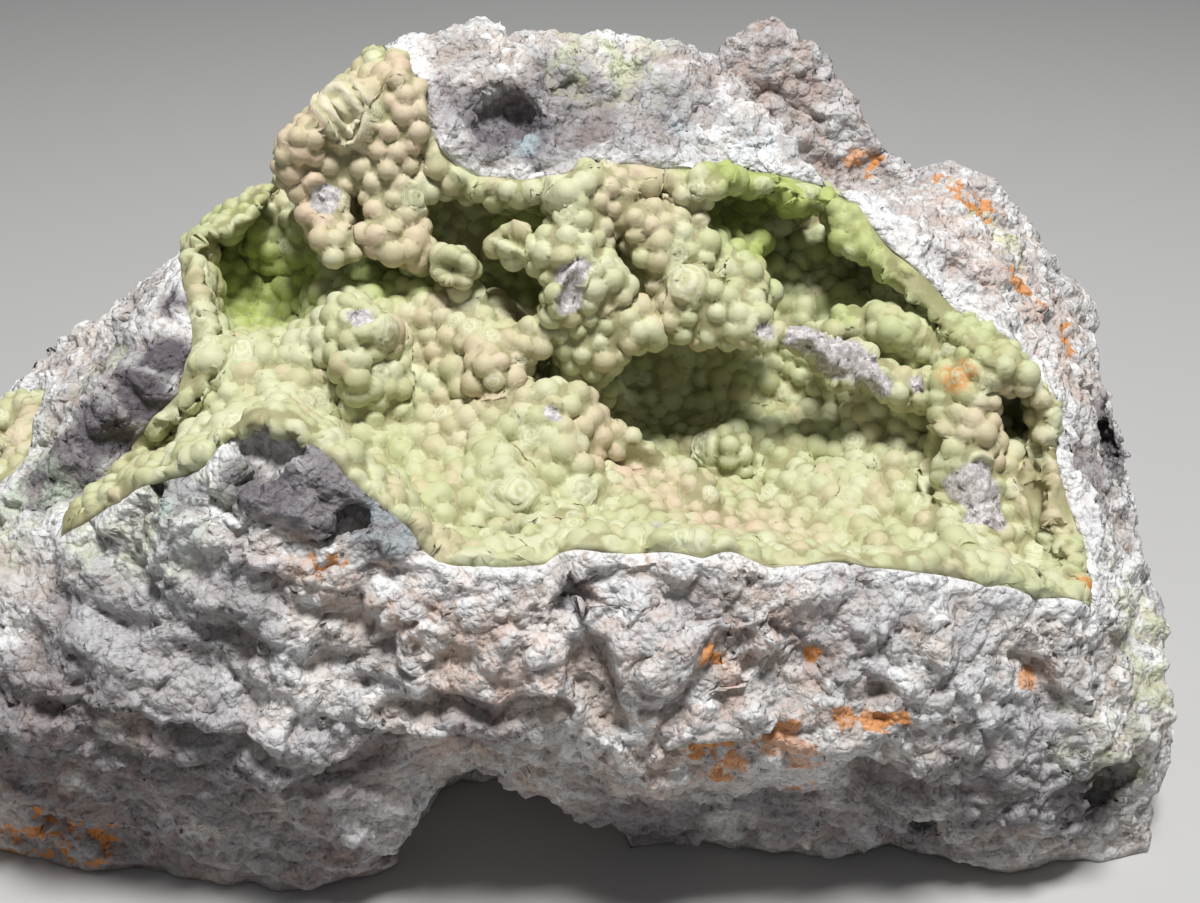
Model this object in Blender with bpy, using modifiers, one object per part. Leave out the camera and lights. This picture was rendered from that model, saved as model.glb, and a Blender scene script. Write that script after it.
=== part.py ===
"""A hand specimen: a pale broken rock with a hollow lined by a lumpy wavellite crust.

Lengths are in millimetres in the tables below and are turned to metres when a mesh is made.
+X is to the right, the hollow looks towards -Y and up, and the flat underside lies on z = 0.
"""
import math
import random

import bmesh
import bpy
import numpy as np
from mathutils import Matrix, Vector
from mathutils.bvhtree import BVHTree

MM = 0.001
SEED = 41

# Sizes of the working steps, in millimetres.
ROCK_VOXEL = 2.0
HOLLOW_VOXEL = 1.5
LINING_VOXEL = 1.15
BAR_VOXEL = 0.97
LUMP_VOXEL = 0.89
EVEN_VOXEL = 1.3
CUTTER_VOXEL = 1.7
ROCK_WAVE = 2.6
ROCK_WAVE_SIZE = 17.0
ROCK_GRIT = 1.3
ROCK_GRIT_SIZE = 6.0
CRUST_THICKNESS = 2.0
CRUST_GAP = 0.45
BAR_MARGIN = 1.2
BAR_SLIM = 0.7
SKIN_DEPTH = 5.0
LUMP_RADII = (2.1, 3.5)
LUMP_SPACING = 5.0
LUMP_COUNT = 210

# Points closer than this are one point after cutting.
CLOSE_POINTS = 0.02

# Triangles kept in each solid that the two pieces are cut from.
ROCK_TRIANGLES = 2100
REACH_TRIANGLES = 1900
HOLLOW_TRIANGLES = 600
LINING_TRIANGLES = 3300
SIDE_TRIANGLES = 300
ARCH_TRIANGLES = 160

# The point the mouth of the hollow is laid out from, and the tilt of the mouth's plane.
EYE = Vector((7.0, -181.9, 149.0))
MOUTH_TILT = math.radians(30.0)

# Corner points of the blocks that the broken rock is made up of.
BLOCKS = {
    "slab_left": [
        (-86, -28, 36), (-68, -29, 46), (-53, -32, 54), (-45, -33, 61), (-36, -34, 66), (-30, -35, 68),
        (-18, -39, 59), (-10, -41, 52), (-86, -33, 26), (-70, -40, 28), (-48, -46, 36), (-30, -47, 30),
        (-12, -46, 32), (-84, -31, 2), (-72, -33, -3), (-52, -30, -3), (-42, -35, -3), (-33, -39, -3),
        (-22, -33, -3), (-12, -36, 12), (-84, -6, 30), (-46, -22, 56), (-30, -24, 60), (-10, -20, 50),
        (-80, -6, -3), (-14, -10, -3)],
    "slab_middle": [
        (-14, -40, 53), (-5, -42, 53), (3, -42, 56), (13, -42, 55), (24, -41, 54), (38, -39, 51),
        (-12, -45, 34), (4, -47, 38), (14, -49, 34), (30, -48, 30), (40, -45, 28), (-4, -37, 16),
        (4, -38, 12), (10, -30, -3), (14, -30, -3), (28, -30, -3), (40, -32, -3), (-14, -20, 48),
        (38, -20, 44), (-10, -12, -3), (40, -10, -3)],
    "slab_right": [
        (36, -39, 51), (50, -37, 48), (62, -34, 43), (69, -31, 39), (76, -30, 33), (79, -29, 27),
        (38, -46, 32), (52, -44, 28), (68, -38, 24), (80, -33, 16), (40, -32, -3), (50, -31, -3),
        (58, -26, -3), (68, -29, -3), (76, -35, -3), (81, -33, -2), (85, -29, 8), (38, -20, 44),
        (68, -18, 42), (80, -14, 30), (82, -10, -3), (40, -10, -3)],
    "slab_lump": [
        (4, -46, 40), (12, -49, 44), (18, -46, 46), (6, -40, 50), (20, -40, 36), (10, -49, 36), (14, -38, 40)],
    "flank": [
        (-86, 4, 40), (-78, 6, 49), (-69, 9, 54), (-63, 11, 57), (-54, 13, 63), (-50, 13, 70),
        (-44, 12, 75), (-38, 9, 79), (-84, -22, 38), (-68, -25, 46), (-57, -19, 57), (-44, -9, 65),
        (-38, -1, 71), (-84, 22, 30), (-66, 32, 42), (-48, 36, 60), (-36, 34, 74), (-84, -20, 4),
        (-80, 18, 4), (-62, 32, 4), (-40, 36, -3), (-40, -10, -3)],
    "crown": [
        (-38, 7, 79), (-34, 9, 86), (-29, 11, 91), (-23, 14, 95), (-19, 16, 98), (-15, 18, 98),
        (-15, 7, 89), (-10, 5, 83), (-30, 34, 84), (-12, 40, 84), (-34, 2, 70), (-12, 2, 74),
        (-30, 30, 50), (-10, 34, 50)],
    "roof": [
        (-16, 19, 98), (-4, 21, 96), (7, 23, 95), (19, 25, 94), (27, 21, 89), (36, 14, 83),
        (-12, 5, 84), (0, 5, 81), (12, 8, 83), (26, 10, 82), (39, 9, 79), (-14, 42, 80),
        (20, 48, 84), (-10, 30, 56), (34, 34, 56)],
    "boulder": [
        (21, 44, 88), (32, 50, 91), (38, 50, 89), (46, 48, 84), (51, 45, 78), (56, 41, 73),
        (22, 58, 60), (50, 58, 58), (14, 40, 60), (60, 38, 60), (20, 52, 30), (58, 50, 30)],
    "right_wall": [
        (38, 10, 80), (45, 8, 74), (54, 4, 66), (61, 1, 61), (68, -7, 56), (69, -22, 44), (70, -31, 38),
        (60, 40, 71), (68, 35, 69), (75, 34, 65), (81, 32, 54), (86, 28, 42), (90, 20, 25),
        (79, -29, 28), (84, -24, 12), (50, 46, 50), (72, 44, 30), (50, 0, 20), (84, -20, 4)],
    "back_foot": [
        (90, 20, 25), (97, 18, 10), (99, 14, 3), (99, 12, -3), (94, 30, -3), (80, 40, -3),
        (84, 4, -3), (74, 0, 20), (80, 34, 26), (82, 10, 30)],
    "base": [
        (-80, -8, -3), (-76, 18, -3), (-58, 34, -3), (-20, 48, -3), (20, 56, -3), (58, 50, -3),
        (86, 34, -3), (84, 0, -3), (78, -16, -3), (0, -14, -3), (-60, -20, -3), (-74, 8, 40),
        (-40, 34, 60), (0, 48, 66), (50, 50, 60), (76, 38, 40), (70, -14, 36), (0, -20, 44), (-60, -18, 44)],
    "core": [
        (-36, 0, 73), (-38, 34, 60), (0, 44, 72), (30, 46, 72), (56, 38, 64), (58, 6, 61), (28, 8, 77),
        (-12, 8, 77), (-50, 0, 58), (-44, 30, 8), (60, 40, 8), (60, -10, 8), (-44, -14, 8)],
    "heart": [
        (-46, -18, 57), (-36, 2, 76), (-12, 6, 80), (26, 10, 80), (50, 6, 68), (62, -2, 58),
        (64, -20, 44), (36, -30, 48), (0, -32, 52), (-28, -28, 60), (-40, -10, 10), (60, -10, 10),
        (0, 30, 20)],
}

# The outline of the hollow's mouth, clockwise from the left end as it is looked into.
MOUTH = [
    (-60, -29, 47), (-53, -30, 53), (-46, -31, 58), (-39, -32, 61), (-35, -33, 66), (-30, -34, 67),
    (-25, -35, 65), (-17, -38, 58), (-15, -39, 55), (-11, -40, 52), (-5, -41, 52), (2, -41, 55),
    (13, -41, 54), (23, -40, 53), (36, -39, 50), (50, -36, 47), (69, -29, 38), (68, -24, 43),
    (67, -10, 50), (68, -6, 55), (61, 0, 60), (55, 3, 64), (45, 8, 73), (39, 9, 79), (25, 10, 82),
    (14, 8, 82), (7, 7, 83), (0, 5, 81), (-10, 5, 82), (-16, 7, 89), (-18, 11, 95), (-19, 15, 97),
    (-22, 14, 96), (-28, 11, 90), (-34, 9, 86), (-39, 9, 79), (-44, 11, 76), (-50, 10, 71),
    (-49, 5, 71), (-47, 1, 70), (-46, -3, 67), (-46, -8, 63), (-47, -12, 60), (-50, -17, 57), (-57, -22, 51),
    (-60, -25, 48)]

# The chambers of the hollow: centre, then radii along X, up the mouth's slope and square to it.
OPEN_CHAMBERS = [
    ((34, -17, 60), (26, 20, 18)),
    ((13, -1, 61), (18, 15, 17)),
    ((24, -7, 60), (24, 18, 18)),
    ((42, -30, 55), (26, 14, 12)),
    ((7, -29, 55), (14, 10, 10)),
    ((-19, -18, 64), (22, 16, 12)),
    ((-11, -33, 59), (10, 12, 10)),
    ((-45, -23, 64), (16, 10, 6)),
    ((-40, 5, 70), (11, 11, 13)),
    ((38, 10, 74), (22, 12, 13)),
    ((-23, 2, 78), (8, 8, 12)),
    ((-7, 5, 80), (14, 9, 14)),
    ((60, -13, 62), (12, 14, 10)),
    ((61, -24, 52), (12, 14, 9)),
    ((55, -5, 51), (4, 5, 14)),
    ((67, -8, 57), (4, 8, 12)),
]
COVERED_CHAMBERS = [
    ((8, 7, 72), (13, 8, 7)),
    ((-8, 8, 70), (11, 7, 7)),
]

# Bars, bridges and ledges of crust that cross the hollow: points along each, with its radius.
RIBS = {
    "pillar": [(-31, 8, 86, 4.6), (-30, 6, 81, 4.6), (-29, 4, 77, 4.0)],
    "pillar_middle": [(-26, 11, 88, 4.0), (-25, 8, 82, 3.8)],
    "pillar_inner": [(-20, 10, 91, 4.0), (-20, 7, 85, 4.2), (-20, 5, 79, 3.8), (-19, 5, 75, 3.4)],
    "column": [(-28, 3, 77, 3.8), (-27, -2, 73, 3.0), (-26, -4, 70, 2.8), (-25, -6, 68, 3.8), (-24, -8, 62, 4.0),
               (-24, -9, 56, 4.4)],
    "left_ridge": [(-25, -6, 67, 3.6), (-27, -8, 64, 3.2), (-32, -8, 61, 3.2), (-40, -6, 60, 3.6)],
    "right_ridge": [(-25, -6, 67, 3.6), (-20, -7, 67, 2.8), (-15, -6, 67, 2.6), (-13, -4, 68, 2.8), (-9, -5, 71, 2.6)],
    "hollow_bone": [(-20, 4, 76, 4.0), (-16, 0, 73, 3.0), (-12, -3, 73, 2.8), (-9, -5, 71, 2.6), (-7, -6, 68, 2.8)],
    "slit_bone": [(-17, 6, 82, 3.0), (-13, 2, 78, 2.4), (-7, 0, 76, 2.6), (-2, -2, 75, 2.8), (3, -3, 74, 3.4)],
    "knot": [(5, 4, 79, 4.4), (3, -3, 74, 4.0), (4, -4, 70, 5.0), (4, -3, 65, 4.2), (5, -1, 58, 4.2), (5, 2, 50, 5.0)],
    "knot_chain": [(4, -3, 65, 4.0), (1, -4, 64, 3.4), (-3, -5, 64, 3.4), (-6, -7, 61, 3.6), (-6, -9, 56, 3.8),
                   (-7, -11, 51, 4.0)],
    "shelf": [(5, -2, 66, 3.6), (13, -3, 65, 2.8), (20, -4, 65, 2.8), (28, -4, 65, 3.0), (39, -4, 61, 3.4),
              (45, -6, 58, 3.4), (50, -8, 56, 3.4), (55, -9, 60, 3.4), (62, -7, 60, 3.4)],
    "shelf_back": [(13, 4, 66, 2.8), (24, 4, 66, 3.0), (34, 3, 64, 3.0), (44, 1, 61, 3.0), (52, -1, 58, 3.2)],
    "shelf_lip": [(38, 4, 69, 2.6), (42, 1, 66, 2.6), (50, -2, 62, 2.8), (57, -3, 61, 3.0)],
    "beige_string": [(2, -12, 55, 3.4), (7, -12, 53, 3.4), (12, -13, 50, 3.2), (16, -15, 48, 3.4), (19, -18, 46, 3.4),
                     (24, -20, 43, 3.6)],
    "right_column": [(54, -10, 57, 3.6), (55, -12, 53, 4.6), (55, -15, 47, 5.2), (54, -19, 43, 4.4), (57, -27, 42, 3.4)],
    "edge_column": [(66, -8, 56, 2.4), (66, -9, 52, 2.6), (67, -13, 47, 2.6), (67, -20, 42, 2.8)],
    "roof_lumps": [(4, 9, 81, 3.6), (7, 4, 79, 3.8), (12, 3, 77, 4.2), (14, 1, 74, 3.6)],
    "roof_finger": [(22, 10, 82, 3.4), (20, 5, 80, 3.2), (17, 4, 77, 3.4), (15, 2, 74, 3.2)],
    "rosette": [(18, 10, 73, 4.0), (19, 4, 71, 4.0), (19, 1, 70, 4.2), (17, -1, 68, 3.8)],
    "alcove_bumps": [(26, 10, 70, 3.6), (25, 5, 70, 3.0), (27, 3, 68, 2.8), (27, 2, 66, 2.8)],
    "knob_left": [(0, -12, 56, 5.0), (-1, -11, 51, 6.0)],
    "knob_low": [(-5, -22, 52, 4.6), (-6, -21, 48, 5.0)],
    "knob_deep": [(26, -2, 44, 5.0), (27, 2, 42, 6.0)],
}

# Pits in the broken faces, the arch under the front and the small hollow at the left end.
PITS = [
    ((-31, -35, 65), (5.0, 5.0, 5.0)), ((-22, -38, 57), (2.6, 3.0, 3.4)), ((-43, -33, 58), (2.4, 3.0, 2.4)),
    ((-6, 10, 89), (4.6, 5.0, 4.6)), ((4, -43, 50), (2.2, 3.2, 2.4)), ((71, -34, 16), (6.0, 5.0, 6.5)),
    ((49, -36, 10), (3.2, 4.0, 3.2)), ((24, -45, 41), (2.6, 2.6, 1.6)), ((78, 8, 40), (5.0, 9.0, 6.0)),
    ((84, 6, 26), (5.0, 8.0, 5.0)),
]
ARCH = [((-8, -40, 2), (13, 22, 15)), ((3, -38, 0), (9, 18, 13))]
SIDE_HOLLOW = ((-77, -9, 52), (10.5, 13.0, 8.0))
SIDE_CRUST = 2.4
SIDE_LUMPS = 16


def clear_startup():
    """Removes whatever the file starts with."""
    for item in list(bpy.data.objects):
        bpy.data.objects.remove(item, do_unlink=True)


def make_collection(name):
    """Adds a collection to the scene."""
    group = bpy.data.collections.new(name)
    bpy.context.scene.collection.children.link(group)
    return group


def make_material(name, colour, roughness):
    """Makes a plain material for one piece."""
    material = bpy.data.materials.new(name)
    material.use_nodes = True
    shader = material.node_tree.nodes["Principled BSDF"]
    shader.inputs["Base Color"].default_value = (*colour, 1.0)
    shader.inputs["Roughness"].default_value = roughness
    return material


def add_object(name, shape, group):
    """Turns a bmesh into a named object of one collection."""
    mesh = bpy.data.meshes.new(name)
    shape.to_mesh(mesh)
    shape.free()
    item = bpy.data.objects.new(name, mesh)
    group.objects.link(item)
    return item


def as_cutter(item):
    """Keeps a working solid out of the finished object."""
    item.hide_render = True
    item.display_type = "WIRE"
    return item


def settle(item):
    """Replaces an object's mesh by what its modifiers make of it."""
    graph = bpy.context.evaluated_depsgraph_get()
    mesh = bpy.data.meshes.new_from_object(item.evaluated_get(graph))
    item.modifiers.clear()
    item.data = mesh
    return item


def copy_of(item, name, group):
    """Makes an independent copy of an object."""
    twin = bpy.data.objects.new(name, item.data.copy())
    group.objects.link(twin)
    return twin


def add_hull(shape, points):
    """Adds the convex block around some corner points."""
    corners = [shape.verts.new(Vector(point) * MM) for point in points]
    result = bmesh.ops.convex_hull(shape, input=corners)
    spare = {item for item in result["geom_interior"] + result["geom_unused"]
             if isinstance(item, bmesh.types.BMVert)}
    bmesh.ops.delete(shape, geom=list(spare), context="VERTS")


def add_ball(shape, centre, radii, tilt=0.0, detail=3):
    """Adds an ellipsoid, leaned about X by the tilt."""
    place = Matrix.Translation(Vector(centre) * MM) @ Matrix.Rotation(tilt, 4, "X")
    size = Matrix.Diagonal((*(radius * MM for radius in radii), 1.0))
    bmesh.ops.create_icosphere(shape, subdivisions=detail, radius=1.0, matrix=place @ size)


def add_bar(shape, stations):
    """Adds a chain of balls whose radii run smoothly along a path."""
    for start, end in zip(stations, stations[1:]):
        a = Vector(start[:3])
        b = Vector(end[:3])
        steps = max(2, math.ceil((b - a).length / 1.2))
        for step in range(steps + 1):
            share = step / steps
            radius = start[3] + (end[3] - start[3]) * share
            add_ball(shape, a.lerp(b, share), (radius, radius, radius), detail=2)


def ball_group(name, balls, group, tilt=0.0, grow=0.0, detail=3):
    """Makes one working object of several ellipsoids, each made larger by the same length."""
    shape = bmesh.new()
    for centre, radii in balls:
        add_ball(shape, centre, [radius + grow for radius in radii], tilt, detail)
    return as_cutter(add_object(name, shape, group))


def join_into(target, others):
    """Adds the meshes of other objects to one object."""
    shape = bmesh.new()
    for item in [target, *others]:
        shape.from_mesh(item.data)
    shape.to_mesh(target.data)
    shape.free()
    return target


def remesh(item, voxel):
    """Makes one even skin around everything in an object."""
    step = item.modifiers.new("Skin", "REMESH")
    step.mode = "VOXEL"
    step.voxel_size = voxel * MM


def offset(item, distance):
    """Moves an object's skin along its normals."""
    step = item.modifiers.new("Offset", "DISPLACE")
    step.direction = "NORMAL"
    step.mid_level = 0.0
    step.strength = distance * MM


def smooth(item, factor, repeats):
    """Evens out an object's skin."""
    step = item.modifiers.new("Even", "SMOOTH")
    step.factor = factor
    step.iterations = repeats


def roughen(item, name, height, size, depth):
    """Pushes a skin in and out by a cloudy pattern."""
    pattern = bpy.data.textures.new(name, "CLOUDS")
    pattern.noise_scale = size * MM
    pattern.noise_depth = depth
    step = item.modifiers.new(name, "DISPLACE")
    step.texture = pattern
    step.texture_coords = "LOCAL"
    step.direction = "NORMAL"
    step.mid_level = 0.5
    step.strength = height * 2.0 * MM


def thin_out(item, triangles):
    """Reduces a skin to about a number of triangles."""
    present = sum(len(face.vertices) - 2 for face in item.data.polygons)
    step = item.modifiers.new("Facets", "DECIMATE")
    step.ratio = min(1.0, triangles / present)


def combine(item, other, operation):
    """Adds a Boolean step."""
    step = item.modifiers.new(other.name, "BOOLEAN")
    step.operation = operation
    step.solver = "EXACT"
    step.use_self = True
    step.object = other


def make_rock_body(helpers):
    """The whole broken rock before it is hollowed out."""
    shape = bmesh.new()
    for points in BLOCKS.values():
        add_hull(shape, points)
    body = as_cutter(add_object("rock_body", shape, helpers))
    remesh(body, ROCK_VOXEL)
    smooth(body, 0.5, 2)
    roughen(body, "Waves", ROCK_WAVE, ROCK_WAVE_SIZE, 1)
    roughen(body, "Grit", ROCK_GRIT, ROCK_GRIT_SIZE, 1)
    settle(body)
    remesh(body, ROCK_VOXEL)
    return settle(body)


def make_mouth(name, near, far, helpers):
    """The cone of sight through the mouth, between two shares of the way to its rim."""
    shape = bmesh.new()
    rings = []
    for share in (near, far):
        rings.append([shape.verts.new((EYE + (Vector(point) - EYE) * share) * MM) for point in MOUTH])
    count = len(MOUTH)
    for index in range(count):
        after = (index + 1) % count
        shape.faces.new((rings[0][index], rings[0][after], rings[1][after], rings[1][index]))
    caps = [shape.faces.new(rings[0]), shape.faces.new(rings[1])]
    bmesh.ops.triangulate(shape, faces=caps)
    bmesh.ops.recalc_face_normals(shape, faces=shape.faces)
    return as_cutter(add_object(name, shape, helpers))


def make_hollow(body, helpers):
    """The fine skin of the space that the crust and the hollow take up together."""
    core = copy_of(body, "rock_core", helpers)
    as_cutter(core)
    offset(core, -SKIN_DEPTH)
    remesh(core, ROCK_VOXEL)
    settle(core)
    space = make_mouth("hollow_space", 0.72, 1.10, helpers)
    combine(space, core, "DIFFERENCE")
    settle(space)
    deep = ball_group("open_chambers", OPEN_CHAMBERS, helpers, MOUTH_TILT, CRUST_THICKNESS)
    remesh(deep, HOLLOW_VOXEL)
    combine(deep, make_mouth("mouth_cone", 0.70, 1.50, helpers), "INTERSECT")
    settle(deep)
    covered = ball_group("covered_chambers", COVERED_CHAMBERS, helpers, MOUTH_TILT, CRUST_THICKNESS)
    join_into(space, [deep, covered])
    remesh(space, HOLLOW_VOXEL)
    smooth(space, 0.5, 6)
    return settle(space)


def scatter(item, body, count, spacing, radii, chooser):
    """Picks points on a skin inside the rock, spaced apart, each with a radius."""
    graph = bpy.context.evaluated_depsgraph_get()
    tree = BVHTree.FromObject(body, graph)
    points = [vertex.co.copy() for vertex in item.data.vertices]
    chooser.shuffle(points)
    chosen = []
    for point in points:
        if len(chosen) >= count:
            break
        place, normal, _, _ = tree.find_nearest(point)
        if (point - place).dot(normal) > -0.5 * MM:
            continue
        if all((point - other).length > spacing * MM for other, _ in chosen):
            chosen.append((point, chooser.uniform(*radii)))
    return chosen


def lump_group(name, places, helpers):
    """Makes one working object of round lumps."""
    balls = [(point / MM, (radius, radius, radius)) for point, radius in places]
    return ball_group(name, balls, helpers, detail=2)


def make_opening(space, body, helpers):
    """The air of the hollow: the space less the crust on its walls and the bars across it."""
    air = copy_of(space, "hollow_air", helpers)
    as_cutter(air)
    offset(air, -CRUST_THICKNESS)
    remesh(air, LINING_VOXEL)
    shape = bmesh.new()
    for stations in RIBS.values():
        add_bar(shape, [(x, y, z, radius - BAR_SLIM) for x, y, z, radius in stations])
    bars = as_cutter(add_object("bars", shape, helpers))
    remesh(bars, BAR_VOXEL)
    settle(bars)
    combine(air, bars, "DIFFERENCE")
    remesh(air, LINING_VOXEL)
    settle(air)
    chooser = random.Random(SEED)
    lumps = lump_group("lumps", scatter(air, body, LUMP_COUNT, LUMP_SPACING, LUMP_RADII, chooser), helpers)
    remesh(lumps, LUMP_VOXEL)
    settle(lumps)
    combine(air, lumps, "DIFFERENCE")
    remesh(air, LINING_VOXEL)
    smooth(air, 0.5, 2)
    settle(air)
    remesh(air, EVEN_VOXEL)
    smooth(air, 0.5, 4)
    settle(air)
    thin_out(air, LINING_TRIANGLES)
    return settle(air)


def make_reach(body, helpers):
    """The rock with the bars that stand out of it, which bounds how far the crust reaches."""
    reach = as_cutter(copy_of(body, "crust_reach", helpers))
    bars = grown(bpy.data.objects["bars"], "bars_reach", BAR_MARGIN, helpers)
    join_into(reach, [bars])
    remesh(reach, CUTTER_VOXEL)
    settle(reach)
    thin_out(reach, REACH_TRIANGLES)
    return settle(reach)


def make_side_opening(body, helpers):
    """The air of the small hollow at the left end, with lumps on its floor."""
    centre, radii = SIDE_HOLLOW
    air = ball_group("side_air", [(centre, [radius - SIDE_CRUST for radius in radii])], helpers)
    chooser = random.Random(SEED + 1)
    places = scatter(air, body, SIDE_LUMPS, LUMP_SPACING, LUMP_RADII, chooser)
    lumps = lump_group("side_lumps", places, helpers)
    remesh(lumps, LUMP_VOXEL)
    combine(air, lumps, "DIFFERENCE")
    remesh(air, LINING_VOXEL)
    settle(air)
    thin_out(air, SIDE_TRIANGLES)
    return settle(air)


def grown(item, name, distance, helpers):
    """A copy of a solid whose facets are all moved outwards by the same distance."""
    shape = bmesh.new()
    shape.from_mesh(item.data)
    shape.normal_update()
    moves = []
    for vertex in shape.verts:
        normals = np.array([face.normal for face in vertex.link_faces])
        wanted = np.full(len(normals), distance * MM)
        move = np.linalg.lstsq(normals, wanted, rcond=0.2)[0]
        length = max(np.linalg.norm(move), 1e-9)
        moves.append(Vector(move * min(1.0, 2.5 * distance * MM / length)))
    for vertex, move in zip(shape.verts, moves):
        vertex.co += move
    return as_cutter(add_object(name, shape, helpers))


def keep_main_body(item):
    """Drops the loose crumbs that cutting leaves beside a piece, also those that only touch it."""
    shape = bmesh.new()
    shape.from_mesh(item.data)
    waiting = set(shape.faces)
    bodies = []
    while waiting:
        front = [waiting.pop()]
        found = set(front)
        while front:
            for edge in front.pop().edges:
                beside = edge.link_faces if len(edge.link_faces) == 2 else []
                for face in beside:
                    if face not in found:
                        found.add(face)
                        front.append(face)
        waiting -= found
        bodies.append(found)
    bodies.sort(key=len)
    crumbs = [face for body in bodies[:-1] for face in body]
    bmesh.ops.delete(shape, geom=crumbs, context="FACES")
    bmesh.ops.dissolve_degenerate(shape, dist=CLOSE_POINTS * MM, edges=shape.edges)
    shape.to_mesh(item.data)
    shape.free()


def finish(item, material):
    """Cuts a piece for good and gives it its material."""
    settle(item)
    keep_main_body(item)
    item.data.materials.clear()
    item.data.materials.append(material)


def main():
    """Builds the rock and the crusts of its hollows."""
    clear_startup()
    pieces = make_collection("wavellite_specimen")
    helpers = make_collection("working_solids")
    stone = make_material("pale_rock", (0.56, 0.55, 0.52), 0.9)
    mineral = make_material("wavellite", (0.55, 0.58, 0.30), 0.45)

    body = make_rock_body(helpers)
    space = make_hollow(body, helpers)
    air = make_opening(space, body, helpers)
    side_air = make_side_opening(body, helpers)
    reach = make_reach(body, helpers)
    thin_out(space, HOLLOW_TRIANGLES)
    settle(space)
    thin_out(body, ROCK_TRIANGLES)
    settle(body)
    combine(body, ball_group("pits", PITS, helpers, detail=2), "DIFFERENCE")
    settle(body)
    side_space = ball_group("side_space", [SIDE_HOLLOW], helpers)

    rock = copy_of(body, "matrix_rock", pieces)
    shape = bmesh.new()
    bmesh.ops.create_cube(shape, size=1.0, matrix=Matrix.Translation((0, 0, -20 * MM))
                          @ Matrix.Diagonal((400 * MM, 400 * MM, 40 * MM, 1.0)))
    below = as_cutter(add_object("below_ground", shape, helpers))
    combine(rock, grown(space, "hollow_with_gap", CRUST_GAP, helpers), "DIFFERENCE")
    combine(rock, grown(side_space, "side_with_gap", CRUST_GAP, helpers), "DIFFERENCE")
    arch = ball_group("arch", ARCH, helpers)
    remesh(arch, CUTTER_VOXEL)
    settle(arch)
    thin_out(arch, ARCH_TRIANGLES)
    combine(rock, arch, "DIFFERENCE")
    combine(rock, below, "DIFFERENCE")
    finish(rock, stone)

    crust = copy_of(space, "wavellite_crust", pieces)
    combine(crust, reach, "INTERSECT")
    combine(crust, air, "DIFFERENCE")
    finish(crust, mineral)

    side = copy_of(side_space, "side_crust", pieces)
    combine(side, body, "INTERSECT")
    combine(side, side_air, "DIFFERENCE")
    finish(side, mineral)


main()
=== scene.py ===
"""Looks of a wavellite specimen: a pale broken rock with an open hollow lined by lumpy crust.

The rock and the two crusts keep the closed surfaces of the solids that they stand for, because a
broken natural surface has no simple formula. Each is split into small triangles, and its grain,
chunks, ledges and lumps are then raised on it as functions of place, worked out with numpy as
whole arrays. Lengths in the numpy work are millimetres, and a mesh is written in metres.
"""

import logging
import math
from dataclasses import dataclass, field
from enum import Enum
from typing import Any, Callable

import bpy
import numpy as np
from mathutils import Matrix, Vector


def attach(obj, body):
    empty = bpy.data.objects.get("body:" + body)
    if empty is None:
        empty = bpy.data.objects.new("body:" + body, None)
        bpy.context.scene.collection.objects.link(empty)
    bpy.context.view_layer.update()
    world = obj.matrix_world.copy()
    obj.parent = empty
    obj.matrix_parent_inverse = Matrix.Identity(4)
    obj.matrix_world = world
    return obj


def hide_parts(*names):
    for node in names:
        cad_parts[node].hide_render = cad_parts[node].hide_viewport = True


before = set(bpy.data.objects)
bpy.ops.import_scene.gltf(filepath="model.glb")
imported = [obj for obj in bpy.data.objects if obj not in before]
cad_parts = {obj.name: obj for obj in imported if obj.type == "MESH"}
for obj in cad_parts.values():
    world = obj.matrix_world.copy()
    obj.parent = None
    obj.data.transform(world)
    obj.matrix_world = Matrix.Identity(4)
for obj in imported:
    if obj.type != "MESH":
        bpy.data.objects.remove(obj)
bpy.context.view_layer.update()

log = logging.getLogger("specimen")

MM = 1000.0
BODY = "root"
SEED = 41
TOWARDS_VIEWER = np.array([0.0, -0.866, 0.5])
NEIGHBOURS = [np.array(step) - 1 for step in np.ndindex(3, 3, 3)]
HASH_AXES = (73856093, 19349663, 83492791)
HASH_MIXERS = (0x7FEB352D, 0x846CA68B)
LAYER_SHARE = 0.55  # strength of each layer of noise, as a share of the layer before
LAYER_GAIN = 1.6  # brings the layers' sum back to about -1 to 1
MERGE_PER_MM = 500.0  # corners in the same 1/500 mm are one
TOO_LONG = 1.4  # an edge is halved when it is this many times the wished length
BACK_OUT = 1.04  # how far smoothing goes back out, as a share of its step in
RING_WAVES = 17.0  # ripples of a broken lump's rings, in radians a radius
Colour = tuple[float, float, float]
Spots = tuple[tuple[float, ...], ...]


class Slot(Enum):
    """The record's material slots."""

    ROCK = "rock"
    CRUST = "wavellite"


# ---------------------------------------------------------------- noise on arrays of points


def cell_random(cells: np.ndarray, seed: int) -> np.ndarray:
    """Gives each whole-number cell an even random number, by multiplying and mixing its bits.

    Args:
        cells: Whole-number places, with three numbers in the last axis.
        seed: Chooses another set of numbers.

    Returns:
        Numbers from 0 to 1, one a cell.
    """
    whole = cells.astype(np.int64).astype(np.uint32)
    mixed = np.full(whole.shape[:-1], (seed * 7919 + 17) % 2**32, dtype=np.uint32)
    for axis, factor in enumerate(HASH_AXES):
        mixed ^= whole[..., axis] * np.uint32(factor)
    mixed ^= mixed >> np.uint32(16)
    mixed *= np.uint32(HASH_MIXERS[0])
    mixed ^= mixed >> np.uint32(15)
    mixed *= np.uint32(HASH_MIXERS[1])
    mixed ^= mixed >> np.uint32(16)
    return mixed / float(2**32 - 1)


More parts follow.
